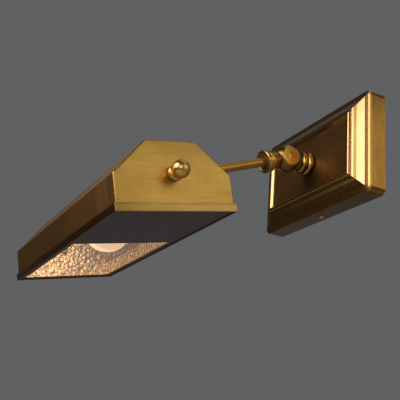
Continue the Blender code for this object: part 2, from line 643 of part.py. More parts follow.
def make_reflector():
    far = -(SHADE_LENGTH / 2 - CAP_SHEET - GAP)
    plate = far + REFLECTOR_SHEET
    folded_sheet("reflector_trough", reflector_outline(), plate + GAP, REFLECTOR_NEAR_X, REFLECTOR_SHEET, SHADE,
                 SILVER)
    far_end = prism("reflector_far_end", reflector_outline(), far, plate, SHADE, SILVER)
    cut(far_end, rod_cutter("far_end_hole", KNOB_SCREW_RADIUS + GAP, -0.2, 0.0, SHADE, (0, 0, KNOB_HEIGHT),
                            TO_PLUS_X))
    near = REFLECTOR_NEAR_X + GAP
    near_end = prism("reflector_near_end", reflector_outline(), near, near + REFLECTOR_SHEET, SHADE, SILVER)
    cut(near_end, rod_cutter("near_end_hole", HOLDER_RADIUS + 0.0008, -0.01, 0.06, SHADE, (0, 0, LAMP_HEIGHT),
                             TO_PLUS_X, 24))


def make_knob(name, side):
    """Ball finial on a stepped base, held by a screw from inside the end cap."""
    turn = TO_PLUS_X if side > 0 else TO_MINUS_X
    seat = SHADE_LENGTH / 2
    ball_start = -58
    profile = arc(0.0, KNOB_BALL_CENTRE, KNOB_BALL_RADIUS, 90, ball_start, 8)
    profile[0] = (0.0, KNOB_BALL_CENTRE + KNOB_BALL_RADIUS)
    profile += [(0.0033, 0.0056), (0.0042, 0.0047), (KNOB_BASE_RADIUS - 0.0006, 0.0036)]
    profile += [(KNOB_BASE_RADIUS, 0.0026), (KNOB_BASE_RADIUS, 0.0012), (KNOB_BASE_RADIUS - 0.0008, GAP)]
    profile += [(KNOB_SCREW_RADIUS + GAP, GAP), (KNOB_SCREW_RADIUS + GAP, 0.0070), (0.0, 0.0070)]
    turned(name, profile, SHADE, POLISHED, (side * seat, 0, KNOB_HEIGHT), turn, 20)
    stack = CAP_SHEET + GAP + (REFLECTOR_SHEET + GAP if side < 0 else 0.0)
    screw = [(0.0, 0.0064), (KNOB_SCREW_RADIUS, 0.0064), (KNOB_SCREW_RADIUS, -stack), (0.0040, -stack),
             (0.0040, -stack - 0.0010), (0.0030, -stack - 0.0022), (0.0, -stack - 0.0022)]
    turned(name + "_screw", screw, SHADE, STEEL, (side * seat, 0, KNOB_HEIGHT), turn, 14)


# ---------------------------------------------------------------- lamp and lampholder

def make_lamp():
    """Frosted ball lamp: open-necked globe, screw cap and contact."""
    at = (0.0, 0.0, LAMP_HEIGHT)
    neck_radius = 0.0072
    join_angle = -52
    outer = arc(0.0, -LAMP_X, GLOBE_RADIUS, 90, join_angle, 10)
    outer[0] = (0.0, -LAMP_X + GLOBE_RADIUS)
    inner = arc(0.0, -LAMP_X, GLOBE_RADIUS - GLOBE_WALL, join_angle, 90, 10)
    inner[-1] = (0.0, -LAMP_X + GLOBE_RADIUS - GLOBE_WALL)
    neck = [(0.0105, -0.0180), (neck_radius + 0.0006, -LAMP_NECK_X + 0.0004)]
    inner_neck = [(neck_radius - 0.0004, -LAMP_NECK_X + 0.0004), (0.0095, -0.0180)]
    turned("lamp_globe", outer + neck + inner_neck + inner, SHADE, GLASS, at, TO_MINUS_X, 24)
    start = -LAMP_NECK_X
    end = start - 0.0205
    cap = [(0.0, start), (LAMP_CAP_RADIUS + 0.0004, start)]
    turns = 5
    for ridge in range(turns):
        top = start - 0.0020 - ridge * 0.0030
        cap += [(LAMP_CAP_RADIUS - 0.0006, top), (LAMP_CAP_RADIUS, top - 0.0015)]
    cap += [(LAMP_CAP_RADIUS - 0.0008, end + 0.0022), (0.0042, end), (0.0, end)]
    turned("lamp_cap", cap, SHADE, STEEL, at, TO_MINUS_X, 16)


def make_lampholder():
    at = (0.0, 0.0, LAMP_HEIGHT)
    back = -HOLDER_BACK_X
    front = -HOLDER_FRONT_X
    radius = HOLDER_RADIUS
    profile = [(HOLDER_BORE, front), (radius - 0.0012, front), (radius, front - 0.0012), (radius, front - 0.0090),
               (radius - 0.0010, front - 0.0096), (radius - 0.0010, front - 0.0110), (radius, front - 0.0116),
               (radius, back + 0.0030), (radius - 0.0025, back), (0.0, back), (0.0, back + 0.0060),
               (HOLDER_BORE, back + 0.0060)]
    holder = turned("lampholder", profile + [profile[0]], SHADE, PORCELAIN, at, TO_MINUS_X, 24)
    cut(holder, *[rod_cutter(f"holder_lead_hole_{i}", LEAD_RADIUS + GAP, 0.0575, 0.07, SHADE,
                             (0, y, LAMP_HEIGHT), TO_PLUS_X, 10)
                  for i, y in enumerate((-HOLDER_LEAD_Y, HOLDER_LEAD_Y))])
    stem_low = HOLDER_BACK_X + GAP
    bracket_x = HOLDER_BACK_X + 0.0040
    stem = [(0.0, 0.0720), (0.0034, 0.0720), (0.0034, stem_low), (0.0, stem_low)]
    turned("lampholder_stem", stem, SHADE, STEEL, at, TO_PLUS_X, 16)
    nut_low = bracket_x + BRACKET_SHEET + GAP
    hexagon_nut("lampholder_nut", 0.0062, nut_low, nut_low + 0.0030, 0.0037, SHADE, at, TO_PLUS_X)
    underside = SHADE_HEIGHT - SHEET - GAP
    half = 0.0065
    bracket = box("lampholder_bracket", (bracket_x, -half, LAMP_HEIGHT - 0.0080),
                  (bracket_x + BRACKET_SHEET, half, underside), SHADE, STEEL)
    join(bracket, box("bracket_foot", (bracket_x, -half, underside - BRACKET_SHEET),
                      (bracket_x + 0.022, half, underside), SHADE, None))
    cut(bracket, rod_cutter("bracket_stem_hole", 0.0037, 0.05, 0.08, SHADE, at, TO_PLUS_X))
    for i, x in enumerate(RIVET_X):
        cut(bracket, rod_cutter(f"bracket_rivet_hole_{i}", 0.0016, -0.01, 0.01, SHADE, (x, 0, underside), steps=12))
        round_head_screw(f"bracket_rivet_{i + 1}", SHADE, (x, 0, SHADE_HEIGHT + GAP), (0.0, 0.0, 0.0),
                         BRONZE, 0.0026, 0.0009, 0.0013, 0.0032)


# ---------------------------------------------------------------- leads

def make_leads():
    """Leads that the light holds all the way: terminals to the wall nipple, and shade nipple to lampholder."""
    for name, x, side, material in (("supply_lead_brown", -0.0415, 1, BROWN_PVC),
                                    ("supply_lead_blue", -0.0265, -1, BLUE_PVC)):
        drop = 0.0120
        route = [(x, -0.0062, side * 0.0020), (x, -0.0062, side * 0.0075), (x, -0.0062, side * drop),
                 (x + 0.004, -0.0066, side * 0.0185),
                 (-0.016, -0.0085, side * 0.0215), (-0.006, -0.0095, side * 0.0120),
                 (side * 0.0006, -0.0115, side * 0.0040), (0.0, -0.0165, side * 0.0013),
                 (0.0, -0.0260, side * 0.0013), (0.0, -0.0370, side * 0.0013)]
        wire(name, smooth_route(route, 3), LEAD_RADIUS, WALL, material)
    down = CHAMFER.normalized()

    def under(depth, x, aside):
        """Point at a depth inside the chamfer, beside the nipple's axis."""
        return CHAMFER_FOOT - CHAMFER_OUT * depth + down * aside + Vector((x, 0.0, 0.0))

    back = HOLDER_BACK_X
    ends = {
        1: [(back - 0.002, 0.0225, 0.0385), (back + 0.0070, 0.0150, 0.0310), (back + 0.0100, 0.0100, 0.0255),
            (back + 0.0062, HOLDER_LEAD_Y, LAMP_HEIGHT), (back - 0.0010, HOLDER_LEAD_Y, LAMP_HEIGHT)],
        -1: [(0.0430, 0.0130, 0.0445), (0.0510, -0.0040, 0.0440), (back, -0.0145, 0.0370),
             (back + 0.0090, -0.0125, 0.0285), (back + 0.0090, -0.0095, 0.0240),
             (back + 0.0050, -HOLDER_LEAD_Y, LAMP_HEIGHT), (back - 0.0010, -HOLDER_LEAD_Y, LAMP_HEIGHT)],
    }
    for name, side, material in (("lamp_lead_brown", 1, BROWN_PVC), ("lamp_lead_blue", -1, BLUE_PVC)):
        aside = side * 0.0014
        route = [under(-0.0110, 0.0, aside), under(0.0, 0.0, aside), under(0.0060, 0.0002, aside),
                 under(0.0084, 0.0026, aside), under(0.0086, 0.0080, aside), under(0.0086, 0.0300, aside)]
        wire(name, smooth_route(route + ends[side], 2), LEAD_RADIUS, SHADE, material)


# ---------------------------------------------------------------- assembly

make_wall_plate()
make_wall_bracket()
make_wall_fixings()
make_panel_stiffener()

WALL_BASE = make_knuckle_base("swivel_knuckle", SWIVEL, TO_PLUS_Y, BRUSHED)
make_nipple_set("wall", WALL_BASE, PLATE_SHEET + GAP + 0.0015, WALL_BASE, BRUSHED)
make_arm()
SHADE_BASE = make_knuckle_base("shade_knuckle", SHADE_JOINT, (CHAMFER_ANGLE + pi / 2, 0.0, 0.0), BRUSHED)
make_nipple_set("shade", SHADE_BASE, SHEET, SHADE_BASE, BRUSHED)

make_shade_body()
make_end_cap("end_cap_right", 1)
make_end_cap("end_cap_left", -1)
make_bottom_tray()
make_reflector()
make_knob("knob_right", 1)
make_knob("knob_left", -1)
make_lamp()
make_lampholder()
make_leads()
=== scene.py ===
"""Picture light: fine surfaces, materials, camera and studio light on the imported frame."""

from math import atan2, cos, degrees, hypot, pi, radians, sin, sqrt

import bmesh
import bpy
import numpy as np
from mathutils import Matrix, Vector


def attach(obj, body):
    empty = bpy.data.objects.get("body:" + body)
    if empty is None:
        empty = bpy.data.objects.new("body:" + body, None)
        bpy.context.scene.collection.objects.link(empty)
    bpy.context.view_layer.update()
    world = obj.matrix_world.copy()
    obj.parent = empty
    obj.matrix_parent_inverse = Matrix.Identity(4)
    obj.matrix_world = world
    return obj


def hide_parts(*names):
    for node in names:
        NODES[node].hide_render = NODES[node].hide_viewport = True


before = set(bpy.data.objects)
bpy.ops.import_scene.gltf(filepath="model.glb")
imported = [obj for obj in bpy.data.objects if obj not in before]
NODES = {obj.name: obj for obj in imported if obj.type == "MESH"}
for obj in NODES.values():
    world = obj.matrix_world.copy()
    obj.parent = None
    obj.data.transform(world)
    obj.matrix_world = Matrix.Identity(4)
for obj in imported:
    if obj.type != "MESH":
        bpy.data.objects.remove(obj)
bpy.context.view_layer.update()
SCENE = bpy.context.scene

# ---- sizes, in metres, as the CAD has them

GAP = 0.0003
PLATE_WIDTH, PLATE_HEIGHT, PLATE_SHEET, PANEL_DEPTH = 0.181, 0.1084, 0.0012, 0.0269
PLATE_CORNER, PLATE_CORNER_FADE = 0.0070, 0.0072
SIDE_SCREW_DEPTH, SIDE_SCREW_RADIUS = 0.008, 0.0015
BALL_RADIUS, BALL_FLAT, BALL_TOP, HALF_SPLIT = 0.0141, 0.0103, 0.0118, 0.0006
BALL_WALL, BOSS_RADIUS, BOSS_RECESS = 0.0025, 0.0044, 0.0072
BASE_HEIGHT, BEAD_RADIUS, BEAD_THICKNESS = 0.0277, 0.0126, 0.0061
RING_RADIUS, RING_START, RING_END = 0.0114, 0.0150, 0.0210
NIPPLE_RADIUS, LEAD_BORE = 0.0049, 0.0032
PIVOT_RADIUS, PIVOT_HEAD_RADIUS = 0.0020, 0.0038
ARM_SLOPE, ARM_REACH = radians(22.97), 0.1575
TUBE_RADIUS, TUBE_BORE, TUBE_SOCKET_DEPTH = 0.0047, 0.0036, 0.006
COLLAR_FACE, CUP_DEPTH = 0.0302, 0.0010
SHADE_TILT, SHADE_LENGTH = radians(12.98), 0.2658
SHADE_HALF_WIDTH, TOP_HALF_WIDTH, SHADE_HEIGHT, CHAMFER_DROP = 0.04855, 0.02105, 0.05525, 0.0261
SHEET, SHEET_BOTTOM, CAP_SHEET, CAP_FLANGE, CHAMFER_MOUNT = 0.0010, 0.0021, 0.0012, 0.008, 0.01195
TRAY_HALF_WIDTH, TRAY_OVERHANG, TRAY_HEIGHT, TRAY_SHEET = 0.050, 0.0013, 0.0064, 0.0010
TRAY_RECESS, TRAY_RIM = 0.0008, 0.0012
TRAY_SCREW_HEIGHT = 0.55 * TRAY_HEIGHT
WINDOW_HALF_WIDTH, WINDOW_NEAR_X, WINDOW_FAR_X, TRAY_SCREW_X = 0.044, 0.0262, -0.1272, 0.095
REFLECTOR_SHEET, REFLECTOR_NEAR_X = 0.0006, 0.0270
REFLECTOR_SECTION = [(0.0455, 0.0021), (0.0455, 0.0140), (0.0405, 0.0215), (0.0140, 0.0480)]
KNOB_HEIGHT, KNOB_BALL_RADIUS, KNOB_BALL_CENTRE = 0.0290, 0.0070, 0.0118
KNOB_BASE_RADIUS, KNOB_SCREW_RADIUS = 0.0061, 0.0020
LAMP_X, LAMP_HEIGHT, GLOBE_RADIUS, GLOBE_WALL = -0.0065, 0.0232, 0.0225, 0.0010
LAMP_NECK_X, LAMP_CAP_RADIUS, THREAD_STEPS = 0.0270, 0.0068, 10
HOLDER_FRONT_X, HOLDER_BACK_X, HOLDER_RADIUS, HOLDER_BORE = 0.0310, 0.0600, 0.0135, 0.0076
RIVET_X = (0.0740, 0.0820)
LEAD_RADIUS = 0.0009

# ---- frames of the moving groups


def spin(x=0.0, y=0.0, z=0.0):
    return Matrix.Rotation(z, 4, "Z") @ Matrix.Rotation(y, 4, "Y") @ Matrix.Rotation(x, 4, "X")


def shift(*where):
    return Matrix.Translation(Vector(where))


CHAMFER = Vector((0.0, SHADE_HALF_WIDTH - TOP_HALF_WIDTH, -CHAMFER_DROP))
CHAMFER_OUT = Vector((0.0, CHAMFER_DROP, SHADE_HALF_WIDTH - TOP_HALF_WIDTH)).normalized()
CHAMFER_ANGLE = atan2(CHAMFER_OUT.z, CHAMFER_OUT.y)
CHAMFER_FOOT = Vector((0.0, TOP_HALF_WIDTH, SHADE_HEIGHT)) + CHAMFER.normalized() * CHAMFER_MOUNT
SHADE_PIVOT = CHAMFER_FOOT + CHAMFER_OUT * BASE_HEIGHT

TO_MINUS_Y = spin(x=radians(90))
TO_PLUS_Y = spin(x=radians(-90))
TO_PLUS_X = spin(y=radians(90))
TO_MINUS_X = spin(y=radians(-90))
TO_MINUS_Z = spin(x=radians(180))
TO_SIDE = {1: TO_PLUS_X, -1: TO_MINUS_X}

WALL = Matrix.Identity(4)
JOINT = shift(0.0, -(PANEL_DEPTH + BASE_HEIGHT), 0.0)
ARM = JOINT @ spin(x=ARM_SLOPE)
ARM_END = ARM @ shift(0.0, -ARM_REACH, 0.0)
SHADE_JOINT = ARM_END @ spin(x=SHADE_TILT - ARM_SLOPE)
SHADE = SHADE_JOINT @ Matrix.Translation(-SHADE_PIVOT)
WALL_BASE = JOINT @ TO_PLUS_Y
SHADE_BASE = SHADE_JOINT @ spin(x=CHAMFER_ANGLE + pi / 2)
ARM_START_KNUCKLE = ARM @ TO_MINUS_Y
ARM_END_KNUCKLE = ARM_END @ TO_PLUS_Y


# ---- material helpers


class Graph:
    """The nodes of a material or a world, with short calls for them."""

    def __init__(self, name, owners=bpy.data.materials, shader="Principled BSDF"):
        self.owner = owners.new(name)
        self.owner.use_nodes = True
        self.tree = self.owner.node_tree
        self.shader = self.tree.nodes[shader]
        self.coords = self.new("TexCoord").outputs

    def feed(self, socket, value):
        if isinstance(value, bpy.types.NodeSocket):
            self.tree.links.new(value, socket)
        elif socket.type == "RGBA":
            socket.default_value = (*value, 1.0)
        else:
            socket.default_value = value

    def fill(self, node, inputs):
        for name, value in inputs.items():
            self.feed(node.inputs[name.replace("_", " ")], value)

    def new(self, kind, **inputs):
        node = self.tree.nodes.new("ShaderNode" + kind)
        self.fill(node, inputs)
        return node

    def paint(self, colour, rough, metallic=1.0, **more):
        self.fill(self.shader, dict(Base_Color=colour, Roughness=rough, Metallic=metallic, **more))

    def noise(self, scale, detail, rough, distortion=0.0, offset=(0, 0, 0)):
        """Noise from 0 to 1; scale is one number, or one for each axis."""
        stretch = scale if isinstance(scale, tuple) else (scale, scale, scale)
        moved = self.new("Mapping", Vector=self.coords["Object"], Scale=stretch, Location=offset)
        return self.new("TexNoise", Vector=moved.outputs[0], Scale=1.0, Detail=detail, Roughness=rough,
            Distortion=distortion).outputs["Fac"]

    def voronoi(self, scale, feature="F1"):
        node = self.new("TexVoronoi", Vector=self.coords["Object"], Scale=scale)
        node.feature = feature
        return node.outputs["Distance"]

    def span(self, value, low, high, to_low=0.0, to_high=1.0):
        return self.new("MapRange", Value=value, From_Min=low, From_Max=high, To_Min=to_low,
            To_Max=to_high).outputs["Result"]

    def math(self, operation, *values):
        node = self.new("Math")
        node.operation = operation
        for socket, value in zip(node.inputs, values):
            self.feed(socket, value)
        return node.outputs[0]

    def times(self, first, second):
        return self.math("MULTIPLY", first, second)

    def plus(self, first, second):
        return self.math("ADD", first, second)

    def minus(self, first, second):
        return self.math("SUBTRACT", first, second)

    def absolute(self, value):
        return self.math("ABSOLUTE", value)

    def mix(self, factor, first, second):
        """Goes from the first colour to the second as the factor goes from 0 to 1."""
        node = self.new("Mix")
        node.data_type = "RGBA"
        for index, value in ((0, factor), (6, first), (7, second)):
            self.feed(node.inputs[index], value)
        return node.outputs[2]

    def crevice(self, distance):
        """0 in the open, towards 1 in narrow recesses."""
        node = self.new("AmbientOcclusion", Distance=distance)
        node.samples = 8
        return self.minus(1.0, node.outputs["AO"])

    def axis(self, which, space="Object"):
        return self.new("SeparateXYZ", Vector=self.coords[space]).outputs[which]

    def bumped(self, height, strength, distance):
        """Adds a bump, and gives the finished material."""
        node = self.new("Bump", Strength=strength, Distance=distance, Height=height)
        self.feed(self.shader.inputs["Normal"], node.outputs["Normal"])
        return self.owner


def dim(colour, factor):
    return tuple(factor * c for c in colour)


def brushed(name, light, dark, grain, rough, streaks=(18, 18, 18), patina=0.5, recess=0.7, depth=0.25,
        line=0.30, painted_sheen_end=None):
    """Antique brass: a fine grain, broad soft streaks and a darker patina, with painted shade darkening the
    recesses and, when a colour is given for it, a painted sheen towards the +X end.
    """
    g = Graph(name)
    fine = g.noise(grain, 4.0, 0.65)
    broad = g.noise(streaks, 3.0, 0.5, offset=(3.1, 1.7, 5.3))
    specks = g.noise(900.0, 2.0, 0.6)
    worn = g.span(broad, 0.32, 0.68)
    colour = g.mix(g.times(worn, patina), light, dark)
    colour = g.mix(g.span(fine, 0.3, 0.7, 0.0, line), colour, dim(light, 0.55))
    colour = g.mix(g.span(specks, 0.60, 0.75, 0.0, 0.35), colour, dim(dark, 0.5))
    # Painted sheen: towards the +X end the colour is mixed into a brighter, warmer brass.
    if painted_sheen_end:
        along = g.span(g.plus(g.axis(0), g.times(broad, 0.03)), 0.02, 0.15, 0.0, 0.8)
        colour = g.mix(along, colour, painted_sheen_end)
    # Painted shade: darkens the recesses that ambient occlusion finds, where patina also gathers.
    painted_recess_shade = g.span(g.crevice(0.004), 0.25, 0.95, 0.0, recess)
    colour = g.mix(painted_recess_shade, colour, dim(dark, 0.18))
    grainy = g.span(fine, 0.25, 0.75, rough - 0.06, rough + 0.08)
    g.paint(colour, g.plus(grainy, g.span(broad, 0.3, 0.7, 0.0, 0.07)))
    return g.bumped(fine, depth, 0.00006)


def cast(name, light, dark, rough, recess=0.85, mottle=160.0):
    """Turned or cast brass with a rubbed patina: bright on what stands proud, with painted shade browning
    the recesses.
    """
    g = Graph(name)
    cloud = g.noise(mottle, 5.0, 0.62)
    specks = g.noise(1600.0, 2.0, 0.6)
    colour = g.mix(g.span(cloud, 0.35, 0.68, 0.0, 0.75), light, dark)
    colour = g.mix(g.span(specks, 0.58, 0.72, 0.0, 0.4), colour, dim(dark, 0.45))
    # Painted shade in the recesses (ambient occlusion).
    painted_recess_shade = g.span(g.crevice(0.005), 0.22, 0.85, 0.0, recess)
    colour = g.mix(painted_recess_shade, colour, dim(dark, 0.14))
    g.paint(colour, g.span(cloud, 0.3, 0.7, rough - 0.05, rough + 0.10))
    return g.bumped(g.plus(g.times(cloud, 0.6), g.times(specks, 0.4)), 0.18, 0.00008)


def knuckle(name, light, dark, rough, collar=False):
    """Cast brass with a rubbed patina: gold flats on the ball's sides and brown round them, with painted
    shade on the waist by the ball and in the recesses.
    """
    g = Graph(name)
    cloud = g.noise(210.0, 5.0, 0.62)
    specks = g.noise(1500.0, 3.0, 0.65)
    across = g.absolute(g.axis(0))
    flat = g.span(g.plus(across, g.times(g.minus(cloud, 0.5), 0.0012)), BALL_FLAT - 0.0016,
        BALL_FLAT - 0.0002)
    ball = g.span(g.axis(2), BALL_TOP, BALL_TOP + 0.0012)
    rubbed = g.math("MAXIMUM", flat, g.times(ball, 0.55))
    rubbed = g.times(rubbed, g.span(cloud, 0.25, 0.60, 0.55, 1.0))
    colour = g.mix(flat, g.mix(rubbed, dark, light), (0.80, 0.49, 0.095))
    colour = g.mix(g.span(specks, 0.56, 0.70, 0.0, 0.45), colour, dim(dark, 0.40))
    # Painted shade: the waist between the ball and the rings is darkened.
    neck = g.times(ball, g.span(g.axis(2), 0.0149, 0.0154, 0.7, 0.0))
    colour = g.mix(neck, colour, dim(dark, 0.30))
    # Painted shade in the recesses (ambient occlusion).
    painted_recess_shade = g.span(g.crevice(0.0030), 0.20, 0.80, 0.0, 0.9)
    colour = g.mix(painted_recess_shade, colour, dim(dark, 0.12))
    metallic = 1.0
    if collar:
        radial = g.math("SQRT", g.plus(g.math("POWER", g.axis(0), 2.0), g.math("POWER", g.axis(1), 2.0)))
        dished = g.times(g.span(radial, 0.0094, 0.0099, 1.0, 0.0),
            g.span(g.axis(2), COLLAR_FACE - 0.0016, COLLAR_FACE - 0.0013))
        speckle = g.mix(g.span(specks, 0.48, 0.66), (0.05, 0.032, 0.024), (0.20, 0.135, 0.095))
        colour = g.mix(g.times(dished, 0.95), colour, speckle)
        metallic = g.minus(1.0, g.times(dished, 0.85))
    g.paint(colour, g.span(cloud, 0.3, 0.7, rough - 0.04, rough + 0.10), metallic)
    return g.bumped(g.plus(g.times(cloud, 0.6), g.times(specks, 0.4)), 0.25, 0.00010)


def plain_metal(name, colour, rough, spots=700.0):
    g = Graph(name)
    cloud = g.noise(90.0, 4.0, 0.6)
    flakes = g.voronoi(spots)
    tone = g.mix(g.span(cloud, 0.3, 0.7), colour, dim(colour, 0.72))
    tone = g.mix(g.span(flakes, 0.0, 0.9, 0.0, 0.18), tone, (0.95, 0.95, 0.95))
    g.paint(tone, g.span(cloud, 0.3, 0.7, rough - 0.05, rough + 0.12))
    return g.bumped(flakes, 0.08, 0.00005)


def moulded(name, colour, rough):
    g = Graph(name)
    skin = g.noise(500.0, 3.0, 0.6)
    cloud = g.noise(60.0, 3.0, 0.5)
    tone = g.mix(g.span(cloud, 0.3, 0.7), colour, dim(colour, 0.82))
    g.paint(tone, g.span(skin, 0.3, 0.7, rough - 0.05, rough + 0.08), 0.0)
    return g.bumped(skin, 0.10, 0.00008)


BRASS_LIGHT, BRASS_DARK = (0.70, 0.43, 0.105), (0.46, 0.26, 0.056)
# Painted shade: a darker, redder copy of the brass, used on the whole shade body.
SHADED_BODY_LIGHT, SHADED_BODY_DARK = (0.68, 0.35, 0.108), (0.37, 0.175, 0.050)
CAP_BRASS = brushed("cap_brass", BRASS_LIGHT, BRASS_DARK, (900, 30, 2600), 0.34, (10, 26, 40), 0.55,
    recess=0.3)
# Shade body: the shaded copy of the brass, with a painted sheen towards its +X end.
BODY_BRASS = brushed("body_brass", SHADED_BODY_LIGHT, SHADED_BODY_DARK, (2600, 30, 30), 0.32, (95, 4, 5), 0.75,
    painted_sheen_end=(0.94, 0.51, 0.175))
KNUCKLE_BRASS = knuckle("knuckle_brass", (0.62, 0.345, 0.080), (0.27, 0.145, 0.048), 0.30)
COLLAR_BRASS = knuckle("collar_brass", (0.62, 0.345, 0.080), (0.27, 0.145, 0.048), 0.30, collar=True)
PIVOT_BRASS = cast("pivot_brass", (0.78, 0.46, 0.085), (0.58, 0.32, 0.060), 0.32, 0.6, 300.0)
ROD_BRASS = brushed("rod_brass", (0.66, 0.36, 0.085), (0.40, 0.20, 0.045), (1400, 500, 1400), 0.38,
    (40, 30, 40), 0.5)
KNOB_BRASS = cast("knob_brass", (0.86, 0.54, 0.16), (0.60, 0.34, 0.090), 0.32, 0.5, 90.0)
ZINC = plain_metal("zinc", (0.62, 0.61, 0.57), 0.34)
NICKEL = plain_metal("nickel", (0.66, 0.63, 0.57), 0.26)
PORCELAIN = moulded("holder_mould", (0.82, 0.79, 0.72), 0.35)
BLACK = moulded("black_sheath", (0.022, 0.022, 0.024), 0.55)
BROWN = moulded("brown_sheath", (0.20, 0.075, 0.030), 0.50)
BLUE = moulded("blue_sheath", (0.030, 0.110, 0.420), 0.50)


def tray_material():
    """The lip is antique brass, with painted shade along the long sides; the underside inside the rim is a
    flat dark brown.
    """
    g = Graph("tray_brass")
    fine = g.noise((60, 900, 2600), 4.0, 0.65)
    broad = g.noise((30, 30, 120), 3.0, 0.5)
    within = g.span(g.math("MAXIMUM", g.minus(g.absolute(g.axis(0)), 0.5 * SHADE_LENGTH),
        g.minus(g.absolute(g.axis(1)), TRAY_HALF_WIDTH - TRAY_RIM)), -0.0001, 0.0001, 1.0, 0.0)
    under = g.times(within, g.span(g.axis(2), TRAY_RECESS + 0.0003, TRAY_RECESS + 0.0006, 1.0, 0.0))
    lip = g.mix(g.span(broad, 0.35, 0.65, 0.0, 0.6), (0.62, 0.40, 0.115), (0.40, 0.24, 0.065))
    # Painted shade: the lips along the long sides are much darker than the end lips.
    ends = g.span(g.absolute(g.axis(0)), 0.5 * SHADE_LENGTH + 0.0006, 0.5 * SHADE_LENGTH + 0.0010)
    lip = g.mix(ends, g.mix(g.span(broad, 0.35, 0.65), (0.22, 0.110, 0.040), (0.12, 0.060, 0.024)), lip)
    lip = g.mix(g.span(fine, 0.3, 0.7, 0.0, 0.3), lip, (0.25, 0.15, 0.05))
    # Painted shade in the recesses (ambient occlusion).
    lip = g.mix(g.span(g.crevice(0.003), 0.3, 0.9, 0.0, 0.8), lip, (0.03, 0.017, 0.006))
    dark = g.mix(g.span(broad, 0.35, 0.65), (0.125, 0.056, 0.034), (0.095, 0.043, 0.027))
    g.paint(g.mix(under, lip, dark), g.span(fine, 0.25, 0.75, 0.30, 0.42))
    return g.bumped(fine, 0.2, 0.00005)


def plate_material():
    """Grained side walls, smooth gold mouldings and a cloudy brown panel, with painted light and shade:
    paler side mouldings, darker top and bottom walls, a darker lower panel, a painted highlight on the
    outer side edges and shaded recesses.
    """
    g = Graph("plate_brass")
    depth = g.times(g.axis(1), -1.0)
    front = g.span(depth, 0.0176, 0.0184)
    side = g.minus(0.5 * PLATE_WIDTH, g.absolute(g.axis(0)))
    rise = g.minus(0.5 * PLATE_HEIGHT, g.absolute(g.axis(2)))
    inset = g.math("MINIMUM", side, rise)
    panel = g.span(inset, 0.0245, 0.0262)
    fine = g.noise((1500, 700, 40), 4.0, 0.65)
    cloud = g.noise((22, 22, 30), 4.0, 0.55, distortion=0.4, offset=(3.1, 1.7, 5.3))
    dull = g.span(cloud, 0.3, 0.7, 0.0, 0.45)
    gold = g.mix(dull, (0.50, 0.285, 0.088), (0.32, 0.170, 0.048))
    # Painted light: the side mouldings get a paler gold than the top and bottom ones, set to the light each
    # catches.
    upright = g.span(g.minus(rise, side), -0.0008, 0.0008)
    gold = g.mix(upright, gold, g.mix(dull, (0.52, 0.290, 0.118), (0.40, 0.220, 0.080)))
    brown = g.mix(g.span(cloud, 0.36, 0.66), (0.44, 0.225, 0.070), (0.22, 0.112, 0.038))
    walls = g.mix(dull, (0.47, 0.250, 0.042), (0.34, 0.175, 0.030))
    walls = g.mix(g.span(fine, 0.35, 0.65, 0.0, 0.75), walls, (0.24, 0.120, 0.020))
    colour = g.mix(front, walls, g.mix(panel, gold, brown))
    # Painted shade: the top and bottom walls are darkened.
    end_wall = g.span(rise, 0.0003, 0.0010, 1.0, 0.0)
    colour = g.mix(g.times(end_wall, 0.75), colour, (0.17, 0.085, 0.024))
    # Painted shade: the lower part of the panel is darkened.
    low = g.times(panel, g.span(g.axis(2), -0.040, 0.005, 0.5, 0.0))
    colour = g.mix(low, colour, (0.10, 0.048, 0.022))
    # Painted highlight: brighter, rougher gold on the outer edge of the side mouldings, given the look of a
    # rubbed edge.
    worn = g.times(g.span(side, 0.0012, 0.0030, 1.0, 0.0), g.span(depth, 0.0160, 0.0176))
    colour = g.mix(worn, colour, (0.86, 0.50, 0.15))
    # Painted shade in the recesses (ambient occlusion), except on the front.
    painted_recess_shade = g.times(g.span(g.crevice(0.0030), 0.35, 0.95, 0.0, 0.7), g.minus(1.0, front))
    colour = g.mix(painted_recess_shade, colour, (0.05, 0.026, 0.008))
    rough = g.span(cloud, 0.3, 0.7, 0.24, 0.30)
    rough = g.plus(rough, g.plus(g.times(panel, 0.12), g.times(worn, 0.22)))
    g.paint(colour, rough, Coat_Weight=0.22, Coat_Roughness=0.22)
    return g.bumped(g.times(fine, g.span(depth, 0.0150, 0.0168, 1.0, 0.0)), 0.22, 0.00006)


def reflector_material():
    g = Graph("hammered_aluminium")
    haze = g.noise(260.0, 4.0, 0.6)
    scratch = g.noise((700, 700, 60), 3.0, 0.6)
    tone = g.mix(g.span(haze, 0.3, 0.7), (0.88, 0.80, 0.71), (0.76, 0.68, 0.59))
    # Painted glints: silvery lines along the edges of a Voronoi cell pattern, standing for reflections on
    # the hammered dimples.
    painted_glint = g.span(g.voronoi(240.0, "DISTANCE_TO_EDGE"), 0.02, 0.09, 0.75, 0.0)
    tone = g.mix(painted_glint, tone, (0.78, 0.82, 0.86))
    # Painted shade in the creases (ambient occlusion).
    tone = g.mix(g.span(g.crevice(0.0015), 0.25, 0.9, 0.0, 0.5), tone, (0.30, 0.28, 0.26))
    g.paint(tone, g.span(scratch, 0.3, 0.7, 0.26, 0.40), 0.82)
    return g.bumped(haze, 0.10, 0.00006)


